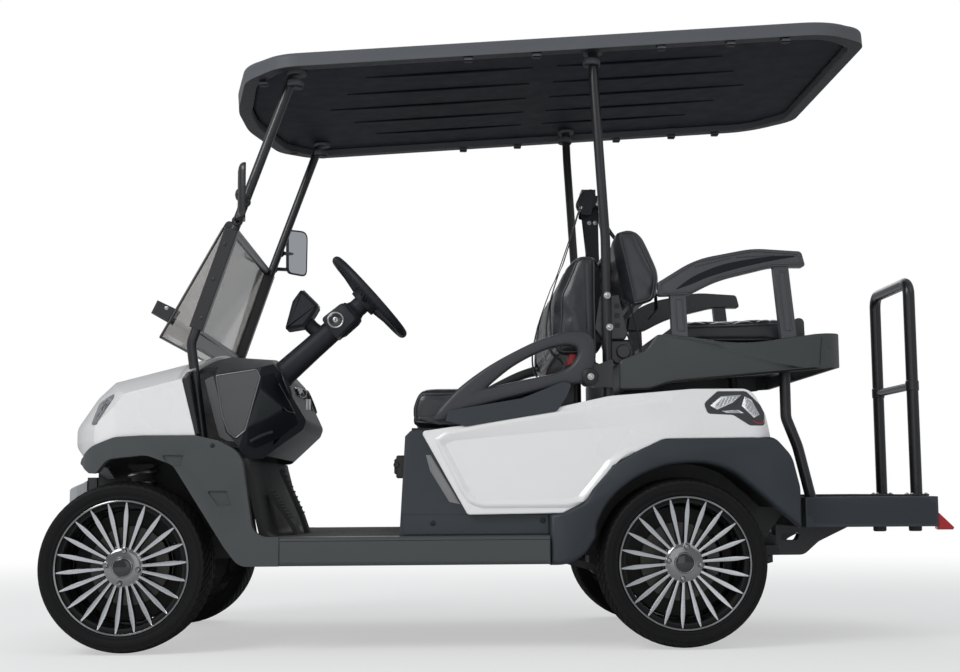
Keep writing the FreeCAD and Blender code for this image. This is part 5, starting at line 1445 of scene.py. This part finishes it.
    def wheel(self) -> None:
        """Adds the hub pad and the spoke covers on the steering wheel."""
        shape, axis = Shape(), self.axis
        shape.lathe(self.middle, ((-34, 46), (-10, 50), (0, 48), (5, 40), (8, 24), (9, 1)), 48, 0, OPEN, axis)
        for turn in (0, 90, 180):
            reach = shape.out * math.cos(math.radians(turn)) - self.across * math.sin(math.radians(turn))
            edge = axis.cross(reach)
            rings = []
            for along, half, depth in ((40, 22, -14), (80, 17, -11), (120, 14, -7), (152, 17, -1)):
                spine = self.middle + reach * along / 1000 + axis * depth / 1000
                rings.append([spine + edge * half * share / 1000 + axis * rise for share, rise in
                              ((1, -0.005), (0.8, 0.004), (-0.8, 0.004), (-1, -0.005))])
            shape.faces(rings)
        shape.finish("steering_wheel_pad", (DASH,), "dash_plastic", 40, "steering_wheel")

    @staticmethod
    def pedals() -> None:
        """Adds the ribbed rubber of the two pedals."""
        shape = Shape()
        for top, foot, y_from, y_to in (((424, 545), (492, 396), -192, -118),
                                        ((408, 476), (470, 388), -372, -268)):
            for k in range(9):
                x, z = between(top, foot, (k + 0.5) / 9)
                shape.rod((x + 1, y_from + 4, z), (x + 1, y_to - 4, z), 3.0, 10)
        shape.finish("pedal_rubbers", (MAT,), "floor_mat", 40)

    def build(self) -> None:
        """Builds the cockpit."""
        for side in (-1, 1):
            self.facets(side)
        self.controls()
        self.column()
        self.wheel()
        self.pedals()
        log.info("cockpit: dashboard, column, wheel pad and pedals")


# Upper works.

@dataclass
class UpperWorks:
    """Windshield frame, mirrors, roof fittings, seat brackets and belts. Sizes in millimetres."""

    strut_y: float = 463.0
    channel: float = 42.0
    roof_front: Flat = (258.0, 1784.0)
    roof_slope: float = math.radians(3.6)

    def windshield(self) -> None:
        """Adds the channels on the struts, the sheets' black borders and the catches."""
        shape = Shape()
        low, high = Vector((189.5, 968.0)), Vector((296.0, 1278.0))
        along = (high - low).normalized()
        half = Vector((-along.y, along.x)) * (self.channel / 2)
        corners = [tuple(corner) for corner in (low - half, low + half, high + half, high - half)]
        top, foot = Vector((272.0, 1297.0)), Vector((77.0, 946.0))
        run = (foot - top).normalized()
        reach = self.strut_y - 18
        for _ in shape.sides():
            shape.plate(corners, reach, self.strut_y + 17, 0, 2.5)
            for x, z in ((306, 1300), (326, 1352)):
                shape.bolt((x, self.strut_y + 14.5, z), 8, 4, 1)
            for x, z in ((209, 1000), (243, 1120), (276, 1228)):
                shape.bolt((x, self.strut_y + 16.5, z), 6, 3)
            shape.tube([(p.x, reach, p.y) for p in (top + run * 14, foot - run * 2)], 4.2, 8)
            shape.plate(((65, 1061), (125, 1032), (100, 990), (46, 1021)), reach - 60, reach + 2, 0, 5)
            shape.bolt((94, reach + 1.5, 1036), 6, 3, 1)
        shape.tube([(foot.x, -reach, foot.y), (foot.x, reach, foot.y)], 4.2, 8)
        shape.block((172, -445, 958), (194, 445, 974), 0, 3)
        shape.rod((286, -432, 1290), (286, 432, 1290), 15.5, 24, 0, 3)
        shape.finish("windshield_frame", (TUBE, STEEL), "black_tube", 40)

    def mirrors(self) -> None:
        """Makes the two mirrors: thin shells with bezel and glass, on two arms from each strut."""
        shape = Shape()
        outline = rounded(((-50, -86, 26), (52, -88, 28), (56, 90, 34), (-52, 84, 30)), 6)
        for _, x, toe in zip(shape.sides(), (340, 386), (8, -40)):
            turn = Matrix.Rotation(math.radians(toe), 3, "Z")
            middle = shape.point((x, 560, 1376))
            for steps, caps, index in (
                (((3, 0), (7, 0), (9, 2), (9, 5), (7, 7)), OPEN, 0),
                (((6.6, 6.5), (7.4, 6.5)), ENDED, 1),
                (((3, 0), (-3, 1.5), (-9, 7), (-13, 17), (-15, 31)), ENDED, 0),
            ):
                shape.faces([[middle + turn @ Vector((depth, y, z)) / 1000 for y, z in inset(outline, shrink)]
                             for depth, shrink in steps], index, caps)
            shape.lathe(middle + turn @ Vector((-0.012, 0, -0.01)), ((0, 18), (5, 17), (9, 11), (11, 1)),
                        24, 0, OPEN, turn @ Vector((-1, 0, 0)))
            for ax, az in ((336, 1362), (312, 1302)):
                shape.rod((ax, self.strut_y + 14, az), (x - 8, 552, az + 8), 7, 16, 0, 2)
                shape.lathe((ax, self.strut_y + 6, az), ((0, 17), (8, 17), (14, 14), (16, 9), (24, 8)), 20)
        shape.finish("side_mirrors", (TUBE, REFLECTOR), "dash_plastic", 45, "chassis", ("mirrors",))

    def under(self, along: float, y: float, z: float) -> Point:
        """Returns a place from one along the roof, across it and off its slope."""
        cos, sin = math.cos(self.roof_slope), math.sin(self.roof_slope)
        return self.roof_front[0] + along * cos - z * sin, y, self.roof_front[1] + along * sin + z * cos

    def roof(self) -> None:
        """Adds the clips on the roof's lower edge and the strut caps."""
        shape = Shape()
        tilt = Vector((0.06, 0, 1)).normalized()
        for _ in shape.sides():
            for along, reach in ((130, 442), (770, 566), (980, 566), (1365, 566), (1580, 566), (1750, 566)):
                x, _, z = self.under(along, 0, 0)
                shape.block((x - 14, reach, z - 58), (x + 14, reach + 26, z - 45), 0, 3)
            for x, y, z in ((490, 463, 1792), (1416, 500, 1850)):
                shape.lathe(shape.point((x, y, z)) - tilt * 0.066, ((0, 24), (4, 27), (18, 27), (24, 24)),
                            28, 0, FULL, tilt)
        shape.finish("roof_fittings", (ROOF,), "roof_plastic", 40)

    def liner(self) -> None:
        """Adds the smooth liner with shallow ribs that closes the roof from below; its near-black navy is
        painted shade.
        """
        shape = Shape()
        near = ((44, 80, 300), (106, 428, 150), (205, 556, 110), (1876, 556, 150), (1984, 428, 90))
        outline = rounded([*near, *((x, -y, turn) for x, y, turn in near[::-1])], 8)
        shape.faces([[self.under(x, y, z) for x, y in inset(outline, shrink)]
                     for z, shrink in ((-21, 0), (-24, 3), (-25, 12), (-23, 60))])
        for y in (-360, -180, 0, 180, 360):
            reach = 720 - abs(y) * 0.4
            for start, end in ((1020 - reach, 980), (1060, 1020 + reach)):
                shape.tube([self.under(start + (end - start) * share, y,
                                       -23 - 2.5 * math.sin(math.pi * share))
                            for share in shares(12)], 9, 12, 0, False, 0.35)
        shape.finish("roof_liner", (SHADED_LINER,), "roof_plastic", 40)

    @staticmethod
    def brackets() -> None:
        """Adds the slotted plates, bolts, hinge knobs and cables between the two backs."""
        shape = Shape()
        for _ in shape.sides():
            for y in (486, 436):
                shape.plate(((1412, 962), (1428, 1062), (1486, 1066), (1512, 946), (1500, 930), (1436, 930)),
                            y - 3, y + 3, 0, 1)
                for z in (968, 998, 1028):
                    shape.block((1432, y - 3.6, z), (1450, y + 3.6, z + 15), 2, 0.5)
                    shape.block((1474, y - 3.6, z - 4), (1488, y + 3.6, z + 11), 2, 0.5)
            for z in (963, 1061):
                x = 1448 + (1061 - z) * 0.06
                shape.rod((x, 512, z), (x, 518, z), 11, 24, 1, 1)
                shape.bolt((x, 518, z), 8.5, 6, 1)
            shape.plate(rounded(((1452, 930, 10), (1530, 930, 14), (1536, 884, 20), (1514, 852, 20),
                                 (1474, 852, 16), (1448, 884, 16)), 3), 470, 408, 0, 6)
            shape.rod((1500, 470, 892), (1500, 480, 892), 22, 28, 0, 3)
            shape.lathe((1386, 585, 806), ((0, 25), (4, 25), (7, 22), (8, 16), (8, 1)), 28, 2)
            shape.bolt((1386, 592.5, 806), 10, 5, 1)
            shape.rod((1404, 508, 828), (1404, 528, 828), 27, 28, 0, 5)
            shape.cord([(1500, 430, 1120), (1541, 446, 990), (1556, 450, 903), (1546, 448, 830),
                        (1542, 446, 778)], 3.6, 8, 2)
            shape.cord([(1476, 452, 1010), (1520, 470, 930), (1538, 470, 850), (1538, 462, 780)], 3.0, 8, 2)
        shape.finish("seat_brackets", (TUBE, STEEL, TRIM), "black_tube", 40)

    @staticmethod
    def tower() -> None:
        """Adds the belt reels and guides at the head of the middle post."""
        shape = Shape()
        for _ in shape.sides():
            shape.lathe((1442, 14, 1452), ((0, 34), (26, 34), (30, 30), (31, 1)), 32)
            shape.plate(rounded(((1416, 1404, 8), (1452, 1400, 8), (1470, 1470, 12), (1456, 1494, 10),
                                 (1428, 1486, 10)), 3), 40, 46, 0, 1.5)
            for x, z in ((1420, 1428), (1474, 1440)):
                shape.rod((x, 12, z), (x, 46, z), 6, 16, 1, 1)
            shape.plate(((1418, 1470), (1437, 1278), (1461, 1010), (1488, 1010), (1480, 1278), (1478, 1476)),
                        13, 18, 0, 1.5)
            for x, z in ((1448, 1380), (1468, 1380), (1462, 1180), (1470, 1060)):
                shape.bolt((x, 18, z), 7, 4, 1)
        for z in (1340, 1240):
            shape.block((1440, -14, z), (1474, 14, z + 26), 0, 3)
        shape.finish("belt_reels", (DASH, STEEL), "black_tube", 40)

    @staticmethod
    def belt(name: str, side: int, points: Sequence[Point], width: float = 46.0) -> None:
        """Lays a belt's webbing along points.

        Args:
            name: The piece's name.
            side: Side of the cart.
            points: Points that it passes.
            width: Width of the webbing.
        """
        shape = Shape(side)
        line = smooth_path([shape.point(point) for point in points], 10)
        rings = []
        for k, point in enumerate(line):
            run = (line[min(k + 1, len(line) - 1)] - line[max(k - 1, 0)]).normalized()
            flat = (Vector((0, 1, 0)) - run * run.y).normalized()
            face = run.cross(flat)
            rings.append([point + flat * s * width / 2000 + face * t * 0.00125 for s, t in
                          ((-1, -0.4), (-0.94, 1), (0.94, 1), (1, -0.4), (0.94, -1), (-0.94, -1))])
        shape.faces(rings)
        shape.finish(f"{name}_{side}", (WEBBING,), "seat_vinyl", 30)

    def belts(self) -> None:
        """Lays the four shoulder and lap belts and their buckles."""
        for side in (-1, 1):
            self.belt("front_belt", side, (
                (1414, 26, 1424), (1382, 70, 1324), (1347, 130, 1222), (1322, 180, 1164), (1288, 270, 1060),
                (1272, 350, 966), (1282, 408, 902), (1314, 432, 864)))
            self.belt("rear_belt", side, (
                (1478, 26, 1436), (1500, 60, 1366), (1530, 110, 1306), (1572, 160, 1276), (1604, 230, 1210),
                (1622, 310, 1120), (1618, 370, 1040), (1600, 400, 1012)))
            shape = Shape(side)
            shape.plate(rounded(((1318, 842, 5), (1344, 850, 5), (1352, 880, 6), (1330, 882, 6)), 3),
                        522, 504, 0, 3)
            shape.plate(rounded(((1300, 806, 3), (1322, 800, 3), (1344, 852, 3), (1322, 858, 3)), 3),
                        517, 509, 1, 1)
            shape.finish(f"buckles_{side}", (RED, TRIM), "seat_vinyl", 40)

    def build(self) -> None:
        """Builds the upper works."""
        self.windshield()
        self.mirrors()
        self.roof()
        self.liner()
        self.brackets()
        self.tower()
        self.belts()
        log.info("upper works: windshield, mirrors, roof, brackets and belts")


# Rear bench, step and bar.

@dataclass
class RearPlatform:
    """Lines of the rear bench's moulding, its armrests, and the fittings of the step and bar. Millimetres."""

    crease: float = 5.5

    def tray_lines(self, side: int) -> None:
        """Raises the swept crease on one side of the bench's moulding and marks its end cap.

        Args:
            side: Side of the cart.
        """
        shape = Shape(side)
        skin = Skin("rear_tray", shape)
        columns = []
        for share in shares(24):
            x = 1632 + 436 * share
            dip = 931 - 30 * math.sin(math.pi * min(1.0, share * 1.02)) * 0.8
            ridge = 928 - 84 * (3 * share ** 2 - 2 * share ** 3) - 4 * share
            foot = 797 + (x - 1632) * 0.088
            lift = self.crease * min(1.0, share * 5, (1 - share) * 9 + 0.1)
            columns.append(((x, dip, -0.2), (x, (dip + ridge) / 2, lift * 0.4), (x, ridge, lift),
                            (x, ridge - 5, lift * 0.7), (x, (ridge + foot) / 2, lift * 0.25),
                            (x, foot, -0.2)))
        skin.ridge(columns)
        skin.line(((2095, 843), (2098, 880), (2104, 930)), 1.4, 1)
        skin.line(((1640, 800), (1850, 818), (2080, 838)), 2.0)
        shape.finish(f"bench_lines_{side}", (TRAY, TRIM), "dark_plastic", 50)

    @staticmethod
    def armrest(side: int) -> None:
        """Adds an armrest's raised rims, painted shade in its groove, and holes as dots of painted shade.

        Args:
            side: Side of the cart.
        """
        shape = Shape(side)
        skin = Skin("rear_armrests", shape)
        rail = rounded(((1610, 1094, 8), (1722, 1164, 60), (1900, 1198, 90), (2040, 1188, 14),
                        (2052, 1158, 8), (1960, 1157, 60), (1790, 1117, 80), (1700, 1071, 30),
                        (1613, 1068, 8)), 5)
        skin.line(rail, 2.6, 0, True, 0.2)
        upper = ((1660, 1080), (1700, 1110), (1743, 1132), (1821, 1159), (1951, 1180), (2028, 1182))
        lower = ((1660, 1078), (1706, 1094), (1768, 1119), (1859, 1145), (1960, 1167), (2028, 1178))
        # A dark strip along the groove: painted shade.
        skin.ridge([[(*point, 0.7) for point in smooth_path(row, 6)] for row in (upper, lower)], 2)
        for post in (((1657, 1050), (1677, 1050), (1684, 952), (1662, 952)),
                     ((1976, 1134), (1998, 1134), (2014, 952), (1992, 952))):
            skin.line(post, 2.2, 0, True, 0.2)
        # Black dots for the holes: painted shade.
        for start, end, count in (((1722, 1149), (1826, 1174), 13), ((1850, 1177), (1962, 1183), 14)):
            for share in shares(count):
                skin.patch(circle(*between(start, end, share), 2.4, 8), 0.4, 1)
        shape.finish(f"armrest_rims_{side}", (GRIP, TRIM, DASH_SHADE), "dark_plastic", 50)

    def step(self) -> None:
        """Adds the step's tread bars, creases, corner reflectors and rubber feet."""
        shape = Shape()
        for k in range(17):
            y = -352 + 44 * k
            shape.block((2080, y - 9, 444.5), (2440, y + 9, 449), 1, 1.5)
        skin = Skin("rear_step", shape)
        for _ in shape.sides():
            columns = []
            for share in shares(20):
                x = 2042 + 392 * share
                ridge = (416 + 14 * math.sin(min(1.0, share * 2.6) * math.pi / 2)
                         - 40 * max(0.0, share - 0.28) / 0.72)
                fade = min(1.0, share * 6 + 0.05, (1 - share) * 12 + 0.1)
                columns.append(((x, 440, -0.2), (x, ridge, 4.5 * fade), (x, ridge - 4, 3.4 * fade),
                                (x, 358, -0.2)))
            skin.ridge(columns)
            rings = []
            for k in range(9):
                y = 517 - 15 * k
                x, reach = self.edge(y), 42 * (1 - k / 8)
                rings.append([(x + a, y, z) for a, z in
                              ((-6, 343), (3 + reach * 0.95, 343), (4 + reach, 350), (3, 392), (-6, 394))])
            shape.faces(rings, 2)
            for x in (2297, 2408):
                shape.lathe((x, 400, 336), ((0, 17), (3, 20), (19, 20)), 24, 1, FULL, UP)
        shape.finish("step_fittings", (CLADDING, MAT, RED_LENS), "dark_plastic", 45)

    @staticmethod
    def edge(y: float) -> float:
        """Returns the place along the cart of the step's swept rear edge at a distance off the middle."""
        bend = (84 ** 2 + 520 ** 2) / (2 * 84)
        return 2525 - bend + math.sqrt(bend ** 2 - y ** 2)

    @staticmethod
    def bar() -> None:
        """Adds the bar's foot plates, bolts, holes and clamp collars."""
        shape, y = Shape(), 185
        for _ in shape.sides():
            shape.block((2456, y - 34, 443), (2518, y + 34, 450), 0, 2)
            for a in (-23, 23):
                for b in (-24, 24):
                    shape.bolt((2487 + a, y + b, 450), 6, 4, 1, UP)
            for z in (473, 516):
                shape.rod((2487, y - 19.4, z), (2487, y + 19.4, z), 4, 16, 2, 0.5)
            shape.lathe((2487, y, 786), ((0, 19.6), (2, 21.4), (32, 21.4), (34, 19.6)), 28, 0, OPEN, UP)
        shape.finish("bar_fittings", (TUBE, STEEL, TRIM), "black_tube", 40)

    def build(self) -> None:
        """Builds the rear platform."""
        for side in (-1, 1):
            self.tray_lines(side)
            self.armrest(side)
        self.step()
        self.bar()
        log.info("rear platform: bench lines, armrests, step and bar")


# Underside.

@dataclass
class Running:
    """Coil springs and brake hoses on the axles. Sizes in millimetres."""

    damper_y: float = 300.0
    coil_radius: float = 41.0
    coils: int = 7

    def build(self) -> None:
        """Builds the running gear's small parts."""
        shape = Shape()
        for side in (-1, 1):
            count = self.coils * 20
            shape.tube([at(self.coil_radius * math.cos(2 * math.pi * k / 20),
                           side * self.damper_y + self.coil_radius * math.sin(2 * math.pi * k / 20),
                           305 + 235 * k / count) for k in range(count + 1)], 5.0, 8, 1)
        for _ in shape.sides():
            shape.cord([(64, 336, 346), (96, 320, 356), (112, 284, 336), (90, 240, 304)], 4.0, 8, 2)
            shape.cord([(1720, 420, 290), (1780, 360, 330), (1740, 240, 320)], 4.0, 8, 2)
        shape.finish("running_gear_parts", (CHASSIS, STEEL, TRIM), "black_tube", 40)
        log.info("running gear: springs and hoses")


@dataclass
class Closings:
    """Sheets that close the wheel housings, the seat well and the bench's corners. Sizes in millimetres."""

    sheet: float = 3.0

    # Inner walls of the wheel housings, and the wall beside the toe board.
    REAR_WALL = ((1378, 322), (1372, 500), (1420, 600), (1900, 604), (1996, 560), (2002, 392), (1946, 322))
    FRONT_WALL = ((-150, 330), (220, 330), (220, 610), (-150, 610))
    TOE_WALL = ((300, 326), (388, 326), (376, 400), (368, 470), (352, 545), (300, 545))

    def lining(self, shape: Shape) -> None:
        """Adds the sheet that runs inwards from the rim of a rear arch.

        Args:
            shape: Shape to add to.
        """
        path = smooth_path(Arches.OPENING[:9], 4)
        rings = []
        for k, point in enumerate(path):
            along = (path[min(k + 1, len(path) - 1)] - path[max(k - 1, 0)]).normalized()
            beyond = point + Vector((-along.y, along.x)) * -self.sheet
            rings.append([(x, y, z) for (x, z), y in
                          ((point, 370), (point, 556), (beyond, 556), (beyond, 370))])
        shape.faces(rings)

    def build(self) -> None:
        """Builds the sheets of both sides."""
        shape = Shape()
        for _ in shape.sides():
            self.lining(shape)
            for wall, y in ((self.REAR_WALL, 368), (self.FRONT_WALL, 246), (self.TOE_WALL, 486)):
                shape.plate(wall, y, y + self.sheet, 0, 0.5)
        shape.block((1388, -560, 649), (1393, 560, 731), 0, 0.5)
        shape.finish("closing_sheets", (TRIM,), "dark_plastic", 40)
        shape = Shape()
        for _ in shape.sides():
            rings = []
            for turn in (math.radians(30 + 3 * k) for k in range(13)):
                rings.append([(2071 + radius * math.cos(turn), 410 + radius * math.sin(turn), z)
                              for radius, z in ((106, 838), (110.6, 838), (110.6, 894), (106, 894))])
            shape.faces(rings)
        shape.finish("bench_corners", (TRAY,), "dark_plastic", 40)
        log.info("closings: wheel housings, seat well and bench corners")


# Studio.

@dataclass
class Studio:
    """Camera, floor and soft light."""

    lens: float = 53.51
    place: Point = (946.5, -4830.5, 466.9)
    yaw: float = 0.0258
    pitch: float = 0.1086
    roll: float = -0.0070

    # Lamps: place and size in metres, and watts. They all point to AIM.
    LAMPS = (((-4.0, -4.4, 4.9), 3.2, 200.0), ((3.8, -3.4, 4.2), 3.5, 25.0), ((0.5, 5.0, 4.6), 4.0, 80.0),
             ((0.0, -5.5, 1.2), 2.6, 14.0))
    AIM = Vector((0, 0, 0.7))

    @staticmethod
    def put(name: str, data: bpy.types.ID, place: Matrix = Matrix()) -> bpy.types.Object:
        """Puts a new object in the scene.

        Args:
            name: The object's name.
            data: Its data.
            place: Where it stands.

        Returns:
            The object.
        """
        thing = bpy.data.objects.new(name, data)
        thing.matrix_world = place
        bpy.context.scene.collection.objects.link(thing)
        return thing

    @staticmethod
    def looked_at(tree: bpy.types.NodeTree) -> bpy.types.NodeSocket:
        """Tells apart what the camera sees, straight or through glass.

        Args:
            tree: Nodes of a material or of the sky.

        Returns:
            The socket, which is 1 for that.
        """
        path = add_node(tree, "LightPath", {}).outputs
        return add_node(tree, "Math", {0: path["Is Camera Ray"], 1: path["Is Transmission Ray"]},
                        operation="MAXIMUM").outputs[0]

    def camera(self) -> None:
        """Puts the camera where the photograph was taken from."""
        ahead = Vector((math.sin(self.yaw) * math.cos(self.pitch), math.cos(self.yaw) * math.cos(self.pitch),
                        math.sin(self.pitch)))
        level = Vector((math.cos(self.yaw), -math.sin(self.yaw), 0))
        upright = level.cross(ahead)
        right = level * math.cos(self.roll) + upright * math.sin(self.roll)
        up = upright * math.cos(self.roll) - level * math.sin(self.roll)
        data = bpy.data.cameras.new("camera")
        data.lens = self.lens
        data.sensor_fit = "HORIZONTAL"
        data.sensor_width = 36.0
        data.clip_end = 200
        turn = Matrix((right, up, -ahead)).transposed().to_4x4()
        bpy.context.scene.camera = self.put("camera", data, Matrix.Translation(at(*self.place)) @ turn)

    def floor(self) -> None:
        """Lays a pale floor that keeps the cart's shadow."""
        mesh = bpy.data.meshes.new("floor")
        reach = 40.0
        mesh.from_pydata([(-reach, -reach, 0), (reach, -reach, 0), (reach, reach, 0), (-reach, reach, 0)], [],
                         [(0, 1, 2, 3)])
        mat = bpy.data.materials.new("pale_floor")
        mat.use_nodes = True
        tree = mat.node_tree
        shader = tree.nodes["Principled BSDF"]
        set_inputs(tree, shader, {"Base Color": (0.86, 0.86, 0.86, 1), "Roughness": 0.9})
        away = add_node(tree, "VectorMath", {0: add_node(tree, "TexCoord", {}).outputs["Object"]},
                        operation="LENGTH")
        # The cart's shadow shows near it, and the far floor is as white as the sky.
        fade = add_node(tree, "MapRange", {"Value": away.outputs["Value"], "From Min": 1.9, "From Max": 6.5,
                                           "To Min": 0.5, "To Max": 1.0}, interpolation_type="SMOOTHSTEP")
        share = add_node(tree, "Math", {0: self.looked_at(tree), 1: fade.outputs["Result"]},
                         operation="MULTIPLY")
        mix = add_node(tree, "MixShader", {"Fac": share.outputs[0], 1: shader.outputs[0],
                                           2: add_node(tree, "Emission", {}).outputs[0]})
        set_inputs(tree, tree.nodes["Material Output"], {"Surface": mix.outputs[0]})
        mesh.materials.append(mat)
        self.put("floor", mesh)

    def light(self) -> None:
        """Lights the cart with a pale sky and broad lamps."""
        world = bpy.data.worlds.new("sky")
        bpy.context.scene.world = world
        world.use_nodes = True
        tree = world.node_tree
        ground = tree.nodes["Background"]
        set_inputs(tree, ground, {"Color": (0.93, 0.96, 1.0, 1), "Strength": 0.40})
        seen = add_node(tree, "Background", {"Color": (1, 1, 1, 1), "Strength": 1.0})
        mix = add_node(tree, "MixShader", {"Fac": self.looked_at(tree), 1: ground.outputs[0],
                                           2: seen.outputs[0]})
        set_inputs(tree, tree.nodes["World Output"], {"Surface": mix.outputs[0]})
        for k, (place, size, power) in enumerate(self.LAMPS):
            data = bpy.data.lights.new(f"softbox_{k}", "AREA")
            data.size = size
            data.energy = power
            lamp = self.put(data.name, data)
            lamp.location = place
            lamp.rotation_euler = (self.AIM - Vector(place)).to_track_quat("-Z", "Y").to_euler()

    def build(self) -> None:
        """Sets up the camera, the floor, the light and the view transform."""
        self.camera()
        self.floor()
        self.light()
        bpy.context.scene.view_settings.view_transform = "Standard"
        log.info("studio: camera, floor and lamps")


# Frame nodes that keep their own solid, by finish.
NODE_FINISHES = {
    PEARL: "hood_shell rear_body",
    SMOKED: "headlamps tail_lamps",
    FENDER: "front_cladding sills",
    CLADDING: "seat_base rear_step",
    BUMPER: "front_bumper",
    DASH: "dashboard steering_wheel rear_seat_board front_seat_board",
    MAT: "pedals floor_pan",
    TUBE: "front_struts rear_struts rear_supports grab_bar",
    ROOF: "roof",
    GLASS: "windshield",
    TRAY: "rear_tray",
    GRIP: "rear_armrests",
    CHASSIS: "frame_rails frame_cross_members front_axle rear_axle knuckle_left knuckle_right battery_pack",
    STEEL: "tie_rod",
}


def dress() -> None:
    """Gives the frame's own solids their finishes."""
    for finish, names in NODE_FINISHES.items():
        for name in names.split():
            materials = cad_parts[name].data.materials
            materials.clear()
            materials.append(finish.material())


def main() -> None:
    """Builds the cart's looks over its frame, sub-assembly by sub-assembly."""
    logging.basicConfig(level=logging.INFO, format="%(message)s")
    Studio().build()
    dress()
    RoadWheel().build()
    Seats().build()
    for part in (SidePanel, HipRestraint):
        for side in (-1, 1):
            part(side).build()
    Arches().build()
    for side in (-1, 1):
        Lamps(side).build()
    log.info("side panels, arches and lamps: lines, seams, fixings and inner parts")
    Cockpit().build()
    UpperWorks().build()
    RearPlatform().build()
    Running().build()
    Closings().build()


if __name__ == "__main__":
    main()
